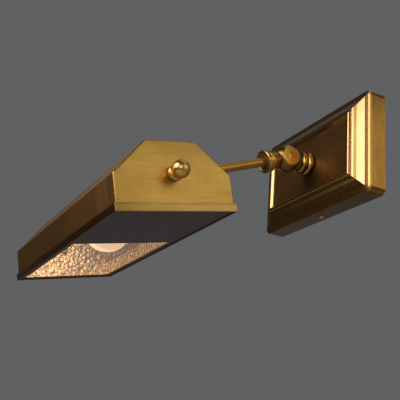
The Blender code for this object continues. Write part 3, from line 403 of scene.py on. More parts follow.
def glass_material():
    """Frosted glass, lit from inside: brighter round the middle of the globe than near its neck and tip."""
    g = Graph("frosted_glass")
    frost = g.noise(1500.0, 3.0, 0.6)
    along = g.absolute(g.minus(g.axis(0), LAMP_X))
    rise = g.minus(g.axis(2), LAMP_HEIGHT)
    warm = g.mix(g.span(along, 0.004, 0.022), (1.0, 0.64, 0.34), (1.0, 0.50, 0.19))
    strength = g.span(rise, -0.0225, -0.0190, 0.60, 0.98)
    strength = g.plus(strength, g.span(rise, -0.0080, 0.0060, 0.0, 6.1))
    warm = g.mix(g.span(rise, -0.0080, 0.0060), warm, (1.0, 0.57, 0.29))
    g.paint((0.92, 0.86, 0.76), g.span(frost, 0.3, 0.7, 0.38, 0.55), 0.0, Coat_Weight=0.3,
        Coat_Roughness=0.15, Emission_Color=warm, Emission_Strength=strength)
    return g.bumped(frost, 0.08, 0.00004)


PLATE_BRASS = plate_material()
TRAY_BRASS = tray_material()
ALUMINIUM = reflector_material()
GLASS = glass_material()


# ---- mesh helpers


def finish(obj, material, body, slot, *nodes, smooth=32):
    mesh = obj.data
    mesh.materials.clear()
    mesh.materials.append(material)
    mesh.shade_smooth()
    mesh.set_sharp_from_angle(angle=radians(smooth))
    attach(obj, body)
    if nodes:
        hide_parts(*nodes)
    return obj


def place(name, data):
    obj = bpy.data.objects.new(name, data)
    SCENE.collection.objects.link(obj)
    return obj


def from_bmesh(name, bm, matrix):
    bmesh.ops.recalc_face_normals(bm, faces=bm.faces)
    mesh = bpy.data.meshes.new(name)
    bm.to_mesh(mesh)
    bm.free()
    obj = place(name, mesh)
    obj.matrix_world = matrix
    return obj


def strips(bm, rows):
    """Quads between each closed row of vertices and the next."""
    for first, second in zip(rows, rows[1:]):
        for k in range(len(first)):
            after = (k + 1) % len(first)
            bm.faces.new((first[k], first[after], second[after], second[k]))


def rounded(points, radii, steps=6, closed=False):
    """Polyline with its corners replaced by arcs. radii holds one radius for each point, or one for all."""
    count = len(points)
    radii = [radii] * count if isinstance(radii, float) else radii
    result = []
    for i, point in enumerate(points):
        here = Vector(point)
        back = Vector(points[i - 1]) - here
        ahead = Vector(points[(i + 1) % count]) - here
        angle = back.angle(ahead, pi)
        is_end = not closed and i in (0, count - 1)
        if is_end or radii[i] <= 0.0 or angle > radians(179):
            result.append(tuple(here))
            continue
        reach = min(radii[i] / max(abs(sin(angle / 2) / cos(angle / 2)), 1e-6), 0.48 * back.length,
            0.48 * ahead.length)
        start = here + back.normalized() * reach
        end = here + ahead.normalized() * reach
        for step in range(steps + 1):
            t = step / steps
            result.append(tuple(start * (1 - t) ** 2 + here * 2 * t * (1 - t) + end * t**2))
    return result


def arc(centre_r, centre_z, radius, start, end, count):
    angles = [radians(start + (end - start) * i / count) for i in range(count + 1)]
    return [(centre_r + radius * cos(a), centre_z + radius * sin(a)) for a in angles]


def lathe(name, profile, matrix, segments=72):
    """Solid of revolution about local Z of (radius, height) points, closed on itself or on the axis."""
    bm = bmesh.new()
    rings = []
    angles = [2 * pi * k / segments for k in range(segments)]
    for radius, height in profile:
        if radius < 1e-7:
            rings.append([bm.verts.new((0.0, 0.0, height))])
        else:
            rings.append([bm.verts.new((radius * cos(a), radius * sin(a), height)) for a in angles])
    pairs = list(zip(rings, rings[1:]))
    if len(rings[0]) > 1:
        pairs.append((rings[-1], rings[0]))
    for first, second in pairs:
        for k in range(segments):
            around = ((first, k), (first, k + 1), (second, k + 1), (second, k))
            corners = list(dict.fromkeys(ring[i % len(ring)] for ring, i in around))
            if len(corners) > 2:
                bm.faces.new(corners)
    return from_bmesh(name, bm, matrix)


def slab(low, high, matrix, name="cutter"):
    bm = bmesh.new()
    bmesh.ops.create_cube(bm, size=1.0)
    low, high = Vector(low), Vector(high)
    for vert in bm.verts:
        vert.co = Vector([low[i] + (vert.co[i] + 0.5) * (high[i] - low[i]) for i in range(3)])
    return from_bmesh(name, bm, matrix)


def merge(obj, *others):
    """Adds the meshes of the others, which share obj's frame, to obj."""
    bm = bmesh.new()
    for source in (obj, *others):
        bm.from_mesh(source.data)
    bm.to_mesh(obj.data)
    bm.free()
    for other in others:
        bpy.data.objects.remove(other)


def prism(name, outline, low_x, high_x, matrix):
    bm = bmesh.new()
    rows = [[bm.verts.new((x, y, z)) for y, z in outline] for x in (low_x, high_x)]
    strips(bm, rows)
    bm.faces.new(rows[0])
    bm.faces.new(rows[1])
    return from_bmesh(name, bm, matrix)


def apply_modifiers(obj):
    graph = bpy.context.evaluated_depsgraph_get()
    mesh = bpy.data.meshes.new_from_object(obj.evaluated_get(graph))
    obj.modifiers.clear()
    obj.data = mesh


def boolean(obj, *others, operation="DIFFERENCE"):
    for other in others:
        modifier = obj.modifiers.new(operation, "BOOLEAN")
        modifier.operation = operation
        modifier.object = other
        modifier.solver = "EXACT"
    bpy.context.view_layer.update()
    apply_modifiers(obj)
    for other in others:
        bpy.data.objects.remove(other, do_unlink=True)


def soften(obj, width, segments=2, angle=40):
    """Small rounding on every edge sharper than the angle."""
    bevel = obj.modifiers.new("soften", "BEVEL")
    bevel.width = width
    bevel.segments = segments
    bevel.limit_method = "ANGLE"
    bevel.angle_limit = radians(angle)
    bevel.use_clamp_overlap = True
    bpy.context.view_layer.update()
    apply_modifiers(obj)


def cylinder(radius, low, high, matrix, segments=48):
    return lathe("cutter", [(0.0, high), (radius, high), (radius, low), (0.0, low)], matrix, segments)


def dress(material, *nodes, edge=0.0):
    """A CAD node that stays: welded, with its edges eased and the material on it."""
    for name in nodes:
        obj = NODES[name]
        obj.data.materials.clear()
        obj.data.materials.append(material)
        weld = obj.modifiers.new("weld", "WELD")
        weld.merge_threshold = 0.000002
        if edge:
            ease = obj.modifiers.new("ease", "BEVEL")
            ease.width = edge
            ease.segments = 2
            ease.limit_method = "ANGLE"
            ease.angle_limit = radians(50)
        obj.data.shade_smooth()
        smooth = obj.modifiers.new("normals", "WEIGHTED_NORMAL")
        smooth.keep_sharp = True


# ---- wall plate


def rounded_rectangle(half_width, half_height, radius, per_corner=8):
    points = []
    for corner, (sx, sz) in enumerate(((1, 1), (-1, 1), (-1, -1), (1, -1))):
        for step in range(per_corner + 1):
            angle = radians(90) * (corner + step / per_corner)
            points.append((sx * (half_width - radius) + radius * cos(angle),
                sz * (half_height - radius) + radius * sin(angle)))
    return points


def moulding_path():
    """(inset, height) from the wall edge over the bead, ledge, ogee and raised rim to the sunk panel."""
    path = rounded([(0.0, 0.0), (0.0, 0.0178), (0.0004, 0.0185), (0.0019, 0.0194), (0.0066, 0.0203),
        (0.0092, 0.0215), (0.0136, 0.0243), (0.0163, 0.0266), (0.0188, 0.0276)],
        [0.0, 0.0006, 0.0006, 0.0012, 0.0030, 0.0080, 0.0050, 0.0025, 0.0], 6)
    path += rounded([(0.0190, 0.0276), (0.0199, 0.0277), (0.0205, 0.0288), (0.0216, 0.0293),
        (0.0229, 0.0293), (0.0252, 0.0274), (0.0278, PANEL_DEPTH)],
        [0.0, 0.0002, 0.0005, 0.0012, 0.0006, 0.0008, 0.0], 6)
    return path


def make_plate():
    inner = [(0.0012, 0.0), (0.0012, 0.0167), (0.0024, 0.0180), (0.0074, 0.0190), (0.0142, 0.0230),
        (0.0170, 0.0253), (0.0194, 0.0263), (0.0212, 0.0276), (0.0223, 0.0281),
        (0.0250, PANEL_DEPTH - PLATE_SHEET)]
    bm = bmesh.new()

    def loft(path, thickness):
        loops = []
        for inset, height in path:
            fade = max(0.0, 1.0 - inset / PLATE_CORNER_FADE)
            radius = 0.0005 + (PLATE_CORNER - 0.0005 - thickness) * fade
            outline = rounded_rectangle(PLATE_WIDTH / 2 - inset, PLATE_HEIGHT / 2 - inset, radius)
            loops.append([bm.verts.new((x, -height, z)) for x, z in outline])
        strips(bm, loops)
        bm.faces.new(loops[-1])
        return loops[0]

    outside, inside = loft(moulding_path(), 0.0), loft(inner, 0.0008)
    strips(bm, [outside, inside])
    plate = from_bmesh("plate_cover", bm, WALL)
    boolean(plate, cylinder(NIPPLE_RADIUS + GAP, -0.02, 0.04, TO_MINUS_Y),
        cylinder(SIDE_SCREW_RADIUS + GAP, -0.06, 0.06, shift(0, -SIDE_SCREW_DEPTH, 0)))
    finish(plate, PLATE_BRASS, "wall_mount", "dark_bronze", "wall_plate", smooth=38)


def dome(radius, height, step):
    """Profile of a low dome, from its top to its rim; step in degrees."""
    profile = [(radius * cos(radians(a)), height * sin(radians(a))) for a in range(90, -1, -step)]
    profile[0] = (0.0, height)
    return profile


def slotted_screw(name, matrix, head_radius, head_height, radius, length, material, body, node, slot):
    profile = dome(head_radius, head_height, 9) + [(radius, 0.0), (radius, -length + 0.0003),
        (radius - 0.0003, -length), (0.0, -length)]
    screw = lathe(name, profile, matrix, 48)
    boolean(screw, slab((-head_radius * 1.2, -head_radius * 0.13, head_height * 0.55),
        (head_radius * 1.2, head_radius * 0.13, head_height * 1.5), matrix))
    finish(screw, material, body, slot, node)


def make_wall_details():
    for end, side, turn in (("top", 1, Matrix.Identity(4)), ("bottom", -1, TO_MINUS_Z)):
        at = shift(0.0, -SIDE_SCREW_DEPTH, side * (PLATE_HEIGHT / 2 + GAP)) @ turn @ spin(z=radians(35))
        slotted_screw("side_screw_" + end, at, 0.0030, 0.0019, SIDE_SCREW_RADIUS, 0.0055, KNOB_BRASS,
            "wall_mount", "plate_screw_" + end, "polished_brass")
    slotted_screw("earth_screw_head", shift(0.042, -0.0018, 0) @ TO_MINUS_Y, 0.0042, 0.0022, 0.0020, 0.0018,
        KNOB_BRASS, "wall_mount", "earth_screw", "polished_brass")
    slotted_screw("block_screw_head", shift(-0.034, -0.0110, 0) @ TO_MINUS_Y, 0.0028, 0.0014, 0.0015,
        0.0105, ZINC, "wall_mount", "block_screw", "zinc_steel")
    for node, x in (("terminal_screw_left", -0.0415), ("terminal_screw_right", -0.0265)):
        slotted_screw(node + "_head", shift(x, -0.0118, 0) @ TO_MINUS_Y, 0.0017, 0.0008, 0.0014, 0.0038,
            ZINC, "wall_mount", node, "zinc_steel")
    dress(ZINC, "wall_bracket", "plate_stiffener", "wall_nut", "wall_washer", edge=0.0002)
    dress(PORCELAIN, "terminal_block")
    dress(BROWN, "supply_lead_brown", "lamp_lead_brown")
    dress(BLUE, "supply_lead_blue", "lamp_lead_blue")


# ---- knuckles and arm


def half_ball(side, matrix):
    flat = sqrt(BALL_RADIUS**2 - BALL_FLAT**2)
    first = degrees(atan2(BALL_FLAT, flat))
    last = degrees(atan2(HALF_SPLIT, sqrt(BALL_RADIUS**2 - HALF_SPLIT**2)))
    rim = arc(0.0, 0.0, BALL_RADIUS, first, last, 22)
    edge = rounded([(0.0, BALL_FLAT), (flat, BALL_FLAT), rim[5]], [0.0, 0.0042, 0.0], 10)[:-1]
    hollow = BALL_RADIUS - BALL_WALL
    profile = edge + rim[5:] + [(hollow, HALF_SPLIT), (hollow * 0.98, hollow * 0.2),
        (hollow * 0.93, hollow * 0.36), (0.0090, 0.0064), (0.0078, BOSS_RECESS), (BOSS_RADIUS, BOSS_RECESS),
        (BOSS_RADIUS, HALF_SPLIT), (0.0, HALF_SPLIT)]
    return lathe("cutter", profile, matrix @ TO_SIDE[side], 96)


def clearance_ball(side, matrix):
    radius = BALL_RADIUS + GAP
    profile = [(0.0, 0.0150)] + arc(0, 0, radius, 75, 0, 24) + [(radius, -HALF_SPLIT), (0.0, -HALF_SPLIT)]
    return lathe("cutter", profile, matrix @ TO_SIDE[side], 96)


def pivot_cutters(matrix):
    sink = BALL_FLAT - 0.0026
    seat = PIVOT_HEAD_RADIUS + 0.0001
    return [cylinder(PIVOT_RADIUS + GAP, -0.02, 0.02, matrix @ TO_PLUS_X),
        cylinder(seat, sink, 0.02, matrix @ TO_PLUS_X), cylinder(seat, sink, 0.02, matrix @ TO_MINUS_X)]


def bead_arc(start, end, outer, steps=16):
    half = (end - start) / 2
    middle = (start + end) / 2
    return arc(outer - half, middle, half, 90, -90, steps)


def make_knuckle_base(name, node, matrix, body):
    swell = bead_arc(RING_START, RING_END, RING_RADIUS)[:-3]
    neck = rounded([swell[-1], (0.0080, RING_START - 0.0002), (0.0072, BALL_TOP)], [0.0, 0.0008, 0.0],
        4)[1:]
    base = lathe(name, [(0.0, RING_END)] + swell + neck + [(0.0, BALL_TOP)], matrix, 96)
    boolean(base, clearance_ball(1, matrix))
    boolean(base, half_ball(-1, matrix), operation="UNION")
    boolean(base, cylinder(LEAD_BORE, 0.007, 0.03, matrix), cylinder(NIPPLE_RADIUS + GAP, 0.0155, 0.03,
        matrix), *pivot_cutters(matrix))
    finish(base, KNUCKLE_BRASS, body, "brushed_brass", node)


def make_bead(name, node, matrix, body):
    end = BASE_HEIGHT - GAP
    start = end - BEAD_THICKNESS
    bore = NIPPLE_RADIUS + GAP
    bead = lathe(name, [(bore, end)] + bead_arc(start, end, BEAD_RADIUS) + [(bore, start)], matrix, 96)
    finish(bead, KNUCKLE_BRASS, body, "brushed_brass", node)


def collar_profile():
    """Dished face, big bead, groove, small bead and waist of the arm's collar, from face to ball."""
    face = COLLAR_FACE
    cup = face - CUP_DEPTH
    profile = [(0.0, cup)] + rounded([(0.0070, cup), (0.0090, cup), (0.0099, cup + 0.0008)],
        [0.0, 0.0008, 0.0], 5)
    profile += arc(0.0108, face - 0.0014, 0.0014, 118, -66, 16)
    profile += rounded([(0.0111, face - 0.0030), (0.0113, face - 0.0034), (0.0113, face - 0.0043),
        (0.0106, face - 0.0048), (0.0100, face - 0.0053)], [0.0, 0.0002, 0.0006, 0.0005, 0.0], 4)
    profile += arc(0.0087, face - 0.0077, 0.0022, 52, -58, 14)
    profile += rounded([(0.0096, face - 0.0099), (0.0089, face - 0.0104), (0.0085, face - 0.0120),
        (0.0084, 0.0150), (0.0086, BALL_TOP)], [0.0, 0.0006, 0.0020, 0.0010, 0.0], 5)
    return profile + [(0.0, BALL_TOP)]


def make_arm_knuckle(name, node, matrix):
    collar = lathe(name, collar_profile(), matrix, 96)
    boolean(collar, clearance_ball(-1, matrix))
    boolean(collar, half_ball(1, matrix), operation="UNION")
    boolean(collar, cylinder(LEAD_BORE, 0.007, 0.04, matrix),
        cylinder(TUBE_RADIUS + 0.0001, COLLAR_FACE - TUBE_SOCKET_DEPTH - GAP, 0.04, matrix),
        *pivot_cutters(matrix))
    finish(collar, COLLAR_BRASS, "arm", "brushed_brass", node)


def make_pivots(prefix, matrix):
    radius, flush = PIVOT_HEAD_RADIUS, BALL_FLAT - 0.00008
    low = BALL_FLAT - 0.0023
    rim = [(0.0, flush), (radius - 0.0002, flush), (radius - 0.00005, flush - 0.00006),
        (radius, flush - 0.0002)]
    screw = rim + [(radius, low), (PIVOT_RADIUS, low), (PIVOT_RADIUS, -BALL_FLAT + 0.0006),
        (0.0, -BALL_FLAT + 0.0006)]
    bore = PIVOT_RADIUS + 0.0001
    nut = [(bore, flush - 0.0001)] + rim[1:] + [(radius, low), (bore, low)]
    for kind, profile, turn in (("screw", screw, TO_PLUS_X), ("nut", nut, TO_MINUS_X)):
        piece = lathe(f"{prefix}_knuckle_{kind}", profile, matrix @ turn)
        finish(piece, PIVOT_BRASS, "arm", "polished_brass", f"{prefix}_pivot_{kind}")


def make_arm():
    make_arm_knuckle("collar_wall", "arm_knuckle_wall", ARM_START_KNUCKLE)
    make_arm_knuckle("collar_shade", "arm_knuckle_shade", ARM_END_KNUCKLE)
    start = COLLAR_FACE - TUBE_SOCKET_DEPTH
    end = ARM_REACH - start
    count = 24
    outer = [(TUBE_RADIUS, end + (start - end) * i / count) for i in range(count + 1)]
    inner = [(TUBE_BORE, start + (end - start) * i / count) for i in range(count + 1)]
    finish(lathe("arm_rod", outer + inner, ARM_START_KNUCKLE, 64), ROD_BRASS, "arm", "brushed_brass",
        "arm_tube")
    make_pivots("wall", JOINT @ spin(x=ARM_SLOPE))
    make_pivots("shade", ARM_END)
    dress(ZINC, "wall_friction_washer", "shade_friction_washer", "wall_nipple", "shade_nipple")
    dress(ZINC, "shade_nut", "shade_washer", edge=0.0002)
    dress(BLACK, "arm_cable")


# ---- shade


def mirrored(half):
    return half + [(-y, z) for y, z in reversed(half)]


def shade_outline(inset, bottom):
    """Shade section, moved inwards, from +Y over the top to -Y."""
    run = hypot(SHADE_HALF_WIDTH - TOP_HALF_WIDTH, CHAMFER_DROP)
    side = inset * (run - CHAMFER_DROP) / (SHADE_HALF_WIDTH - TOP_HALF_WIDTH)
    top = inset * (run - (SHADE_HALF_WIDTH - TOP_HALF_WIDTH)) / CHAMFER_DROP
    half = [(SHADE_HALF_WIDTH - inset, bottom), (SHADE_HALF_WIDTH - inset,
        SHADE_HEIGHT - CHAMFER_DROP - side), (TOP_HALF_WIDTH - top, SHADE_HEIGHT - inset)]
    return mirrored(half)


def bent_outline(inset, bottom, radius):
    return rounded(shade_outline(inset, bottom), [0.0, radius, radius, radius, radius, 0.0], 8)


def tray_screw(side, y):
    return SHADE @ shift(side * TRAY_SCREW_X, y, TRAY_SCREW_HEIGHT) @ TO_PLUS_Y


def make_shade_body():
    end = SHADE_LENGTH / 2 - CAP_SHEET - GAP / 3
    outside = bent_outline(0.0, SHEET_BOTTOM, 0.0020)
    inside = bent_outline(SHEET, SHEET_BOTTOM, 0.0010)
    bm = bmesh.new()
    count = 40
    rows = []
    for i in range(count + 1):
        x = -end + 2 * end * i / count
        rows.append([bm.verts.new((x, y, z)) for y, z in outside + inside[::-1]])
    strips(bm, rows)
    size = len(rows[0])
    half = size // 2
    for row in (rows[0], rows[-1]):
        for k in range(half - 1):
            bm.faces.new((row[k], row[k + 1], row[size - 2 - k], row[size - 1 - k]))
    body = from_bmesh("shade_shell", bm, SHADE)
    mount = SHADE @ Matrix.Translation(CHAMFER_FOOT) @ spin(x=CHAMFER_ANGLE - pi / 2)
    cutters = [cylinder(NIPPLE_RADIUS + GAP, -0.01, 0.01, mount)]
    cutters += [cylinder(0.0016, -0.01, 0.01, SHADE @ shift(x, 0, SHADE_HEIGHT), 24) for x in RIVET_X]
    cutters += [cylinder(0.0014, -0.01, 0.01, tray_screw(side, SHADE_HALF_WIDTH), 24) for side in (1, -1)]
    boolean(body, *cutters)
    finish(body, BODY_BRASS, "shade", "dark_bronze", "shade_body", smooth=28)


def make_end_cap(name, node, side):
    """Pressed plate with eased edges and an inner flange."""
    outer = SHADE_LENGTH / 2
    inner = outer - CAP_SHEET
    outline = rounded(shade_outline(0.0, SHEET_BOTTOM), [0.0005, 0.0032, 0.0026, 0.0026, 0.0032, 0.0005], 8,
        True)
    ease = 0.0012
    steps = 6
    bm = bmesh.new()
    rows = [[bm.verts.new((side * inner, y, z)) for y, z in outline]]
    centre = Vector((0.0, SHADE_HEIGHT * 0.45))
    for i in range(steps + 1):
        angle = radians(90) * i / steps
        inset, x = ease * (1 - cos(angle)), outer - ease + ease * sin(angle)
        row = []
        for k, (y, z) in enumerate(outline):
            before, after = Vector(outline[k - 1]), Vector(outline[(k + 1) % len(outline)])
            along = (after - before).normalized()
            normal = Vector((along.y, -along.x))
            if normal.dot(Vector((y, z)) - centre) > 0:
                normal = -normal
            row.append(bm.verts.new((side * x, y + normal.x * inset, z + normal.y * inset)))
        rows.append(row)
    strips(bm, rows)
    bm.faces.new(rows[0])
    bm.faces.new(rows[-1])
    cap = from_bmesh(name, bm, SHADE)
    gap = SHEET + GAP
    low, high = sorted((side * (inner + 0.0004), side * (inner - CAP_FLANGE)))
    ring = bent_outline(gap, SHEET_BOTTOM + 0.0005, 0.0010)
    ring += bent_outline(gap + 0.0008, SHEET_BOTTOM + 0.0005, 0.0008)[::-1]
    boolean(cap, cylinder(KNOB_SCREW_RADIUS + GAP, 0.10, 0.15,
        SHADE @ shift(0, 0, KNOB_HEIGHT) @ TO_SIDE[side]), cylinder(0.0004, 0.1315, 0.14,
        SHADE @ shift(0, -0.0465, 0.0085) @ TO_SIDE[side], 16))
    merge(cap, prism("flange", ring, low, high, SHADE))
    finish(cap, CAP_BRASS, "shade", "brushed_brass", node, smooth=28)


def make_tray():
    half_length = SHADE_LENGTH / 2 + TRAY_OVERHANG
    tray = slab((-half_length, -TRAY_HALF_WIDTH, 0.0), (half_length, TRAY_HALF_WIDTH, TRAY_HEIGHT), SHADE,
        "tray")
    inner_length, inner_width = SHADE_LENGTH / 2 + GAP / 2, SHADE_HALF_WIDTH + GAP / 2
    boolean(tray, slab((-inner_length, -inner_width, TRAY_RECESS + TRAY_SHEET),
        (inner_length, inner_width, 0.02), SHADE), slab((TRAY_RIM - half_length, TRAY_RIM - TRAY_HALF_WIDTH,
        -0.01), (half_length - TRAY_RIM, TRAY_HALF_WIDTH - TRAY_RIM, TRAY_RECESS), SHADE),
        slab((WINDOW_FAR_X, -WINDOW_HALF_WIDTH, -0.01), (WINDOW_NEAR_X, WINDOW_HALF_WIDTH, 0.01), SHADE))
    soften(tray, 0.00025, 3)
    lip = TRAY_HALF_WIDTH + GAP
    boolean(tray, *[cylinder(0.0014, -0.003, 0.01, tray_screw(side, lip), 24) for side in (1, -1)])
    finish(tray, TRAY_BRASS, "shade", "dark_bronze", "bottom_tray", smooth=30)
    for side, name in ((1, "right"), (-1, "left")):
        slotted_screw("lip_screw_" + name, tray_screw(side, lip), 0.0022, 0.0013, 0.0011, 0.0042,
            KNOB_BRASS, "shade", "tray_screw_" + name, "polished_brass")


# ---- reflector


def hammered(points, cell=0.0040, seed=7):
    """Height of a hammered surface at each (u, v): shallow tilted domes that meet in creases."""
    grid = np.floor(points / cell).astype(int)

    def scatter(i, j, salt):
        value = np.sin(i * 127.1 + j * 311.7 + salt * 74.7 + seed) * 43758.5453
        return value - np.floor(value)

    distances, planes = [], []
    for di in (-2, -1, 0, 1, 2):
        for dj in (-2, -1, 0, 1, 2):
            i, j = grid[:, 0] + di, grid[:, 1] + dj
            offset = np.stack([scatter(i, j, 1), scatter(i, j, 2)], 1)
            away = points - (np.stack([i, j], 1) + 0.08 + 0.84 * offset) * cell
            square = (away**2).sum(1)
            lean = 0.30 * ((scatter(i, j, 3) - 0.5) * away[:, 0] + (scatter(i, j, 4) - 0.5) * away[:, 1])
            distances.append(np.sqrt(square))
            planes.append(lean - square / 0.030)
    distances, planes = np.stack(distances), np.stack(planes)
    weights = np.exp(-(distances - distances.min(0)) / (0.055 * cell))
    return (weights * planes).sum(0) / weights.sum(0)


def resample(path, spacing):
    """Evenly spaced points and unit normals along a polyline."""
    path = np.array(path)
    steps = np.hypot(*np.diff(path, axis=0).T)
    length = np.concatenate([[0.0], np.cumsum(steps)])
    count = int(round(length[-1] / spacing)) + 1
    at = np.linspace(0.0, length[-1], count)
    points = np.stack([np.interp(at, length, path[:, 0]), np.interp(at, length, path[:, 1])], 1)
    tangent = np.gradient(points, axis=0)
    tangent /= np.hypot(*tangent.T)[:, None]
    return at, points, np.stack([tangent[:, 1], -tangent[:, 0]], 1)


def join_sheet(name, bm, face, back):
    """A sheet with a fine face, a plain back of two vertices to a row, and its edges."""
    last = len(face[0]) - 1
    for i in range(len(face) - 1):
        for j in range(last):
            bm.faces.new((face[i][j], face[i][j + 1], face[i + 1][j + 1], face[i + 1][j]))
        bm.faces.new((back[i][0], back[i + 1][0], back[i + 1][1], back[i][1]))
        for j, k in ((0, 0), (last, 1)):
            bm.faces.new((face[i][j], face[i + 1][j], back[i + 1][k], back[i][k]))
    for i in (0, -1):
        bm.faces.new(face[i] + [back[i][1], back[i][0]])
    return from_bmesh(name, bm, SHADE)


def make_trough():
    """Folded hammered sheet: fine grid inside, plain outside, joined round the edge."""
    low_x = -(SHADE_LENGTH / 2 - CAP_SHEET - GAP) + REFLECTOR_SHEET + GAP
    path = rounded(mirrored(REFLECTOR_SECTION), [0.0] + [0.0022] * 6 + [0.0], 8)
    spacing = 0.00055
    along, points, normals = resample(path, spacing)
    if normals[len(normals) // 2][1] > 0:
        normals = -normals
    columns = int(round((REFLECTOR_NEAR_X - low_x) / spacing)) + 1
    xs = np.linspace(low_x, REFLECTOR_NEAR_X, columns)
    s, x = np.meshgrid(along, xs, indexing="ij")
    height = hammered(np.stack([s.ravel(), x.ravel()], 1)).reshape(s.shape)
    border = np.minimum(np.minimum(s, along[-1] - s), np.minimum(x - xs[0], xs[-1] - x))
    height *= np.clip(border / 0.0012, 0.0, 1.0)
    bm = bmesh.new()
    inside = []
    outside = []
    for i, (point, normal) in enumerate(zip(points, normals)):
        face = point + normal * REFLECTOR_SHEET
        inside.append([bm.verts.new((xs[j], *(face + normal * height[i, j]))) for j in range(columns)])
        outside.append([bm.verts.new((value, *point)) for value in (xs[0], xs[-1])])
    trough = join_sheet("hammered_trough", bm, inside, outside)
    finish(trough, ALUMINIUM, "shade", "hammered_aluminium", "reflector_trough", smooth=60)


def make_reflector_end(name, node, low_x, high_x, facing, hole_height, hole_radius, inset=0.0):
    """End plate: fine hammered face on one side, plain on the other, with a round hole."""
    section = REFLECTOR_SECTION
    spacing = 0.00050
    levels = []
    for (y0, z0), (y1, z1) in zip(section, section[1:]):
        count = max(2, int(round((z1 - z0) / spacing)))
        levels += [(y0 + (y1 - y0) * i / count - inset, z0 + (z1 - z0) * i / count) for i in range(count)]
    levels.append((section[-1][0] - inset, section[-1][1] - inset))
    columns = int(round(2 * section[0][0] / spacing))
    bm = bmesh.new()
    grid = np.array([[(-w + 2 * w * j / columns, z) for j in range(columns + 1)] for w, z in levels])
    height = hammered(grid.reshape(-1, 2) + (0.5, 0.31), seed=11).reshape(grid.shape[:2])
    half = np.array([w for w, _ in levels])[:, None]
    rise = np.minimum(grid[..., 1] - levels[0][1], levels[-1][1] - grid[..., 1])
    border = np.minimum(half - np.abs(grid[..., 0]), rise)
    height *= np.clip(border / 0.0012, 0.0, 1.0)
    face_x, back_x = (high_x, low_x) if facing > 0 else (low_x, high_x)
    face = [[bm.verts.new((face_x + facing * height[i, j], *grid[i, j])) for j in range(columns + 1)]
        for i in range(len(levels))]
    back = [[bm.verts.new((back_x, *grid[i, j])) for j in (0, columns)] for i in range(len(levels))]
    plate = join_sheet(name, bm, face, back)
    boolean(plate, cylinder(hole_radius, -0.2, 0.2, SHADE @ shift(0, 0, hole_height) @ TO_PLUS_X))
    finish(plate, ALUMINIUM, "shade", "hammered_aluminium", node, smooth=60)


# ---- knobs


def make_knob(name, node, body, side):
    seat = SHADE @ shift(side * SHADE_LENGTH / 2, 0, KNOB_HEIGHT) @ TO_SIDE[side]
    ball = arc(0.0, KNOB_BALL_CENTRE, KNOB_BALL_RADIUS, 90, -57, 36)
    ball[0] = (0.0, KNOB_BALL_CENTRE + KNOB_BALL_RADIUS)
    neck = rounded([ball[-1], (0.0035, 0.0057), (0.0037, 0.0051), (0.0053, 0.0042),
        (KNOB_BASE_RADIUS, 0.0032), (KNOB_BASE_RADIUS, 0.0010), (KNOB_BASE_RADIUS - 0.0008, 0.00015)],
        [0.0, 0.0005, 0.0006, 0.0006, 0.0010, 0.0006, 0.0], 6)[1:]
    bore = KNOB_SCREW_RADIUS + 0.0001
    knob = lathe(name, ball + neck + [(bore, 0.00015), (bore, 0.0070), (0.0, 0.0070)], seat, 96)
    finish(knob, KNOB_BRASS, body, "polished_brass", node, smooth=50)
    stack = CAP_SHEET + GAP + (REFLECTOR_SHEET + GAP if side < 0 else 0.0)
    head = rounded([(0.0040, -stack), (0.0040, -stack - 0.0008), (0.0031, -stack - 0.0010),
        (0.0029, -stack - 0.0023), (0.0, -stack - 0.0027)], [0.0, 0.0002, 0.0002, 0.0008, 0.0], 5)
    profile = [(0.0, 0.0064), (KNOB_SCREW_RADIUS, 0.0064), (KNOB_SCREW_RADIUS, -stack)] + head
    screw = lathe(name + "_fixing", profile, seat, 56)
    depth = -stack - 0.0016
    boolean(screw, slab((-0.0019, -0.00035, depth - 0.003), (0.0019, 0.00035, depth), seat),
        slab((-0.00035, -0.0019, depth - 0.003), (0.00035, 0.0019, depth), seat))
    finish(screw, ZINC, "shade", "zinc_steel", node + "_screw")


# ---- lamp, lampholder and leads


def make_lamp():
    at = SHADE @ shift(0, 0, LAMP_HEIGHT) @ TO_MINUS_X
    outer = arc(0.0, -LAMP_X, GLOBE_RADIUS, 90, -50, 60)
    outer[0] = (0.0, -LAMP_X + GLOBE_RADIUS)
    inner = arc(0.0, -LAMP_X, GLOBE_RADIUS - GLOBE_WALL, -50, 90, 30)
    inner[-1] = (0.0, -LAMP_X + GLOBE_RADIUS - GLOBE_WALL)
    neck = rounded([outer[-1], (0.0105, -0.0160), (0.0080, -0.0215), (0.0077, -LAMP_NECK_X + 0.0004)],
        [0.0, 0.004, 0.004, 0.0], 8)[1:]
    inner_neck = [(0.0066, -LAMP_NECK_X + 0.0004), (0.0070, -0.0210), (0.0095, -0.0160)]
    finish(lathe("globe", outer + neck + inner_neck + inner, at, 96), GLASS, "shade", "frosted_glass",
        "lamp_globe", smooth=60)
    start = -LAMP_NECK_X
    end = start - 0.0205
    cap = [(0.0, start), (LAMP_CAP_RADIUS + 0.0004, start), (LAMP_CAP_RADIUS + 0.0003, start - 0.0012)]
    for i in range(5 * THREAD_STEPS + 1):
        height = start - 0.0020 - i * 0.00032
        cap.append((LAMP_CAP_RADIUS - 0.0003 + 0.0003 * cos(2 * pi * i / THREAD_STEPS), height))
    cap += [(LAMP_CAP_RADIUS - 0.0008, end + 0.0020), (0.0042, end), (0.0, end)]
    finish(lathe("screw_cap", cap, at, 64), NICKEL, "shade", "nickel_cap", "lamp_cap", smooth=50)


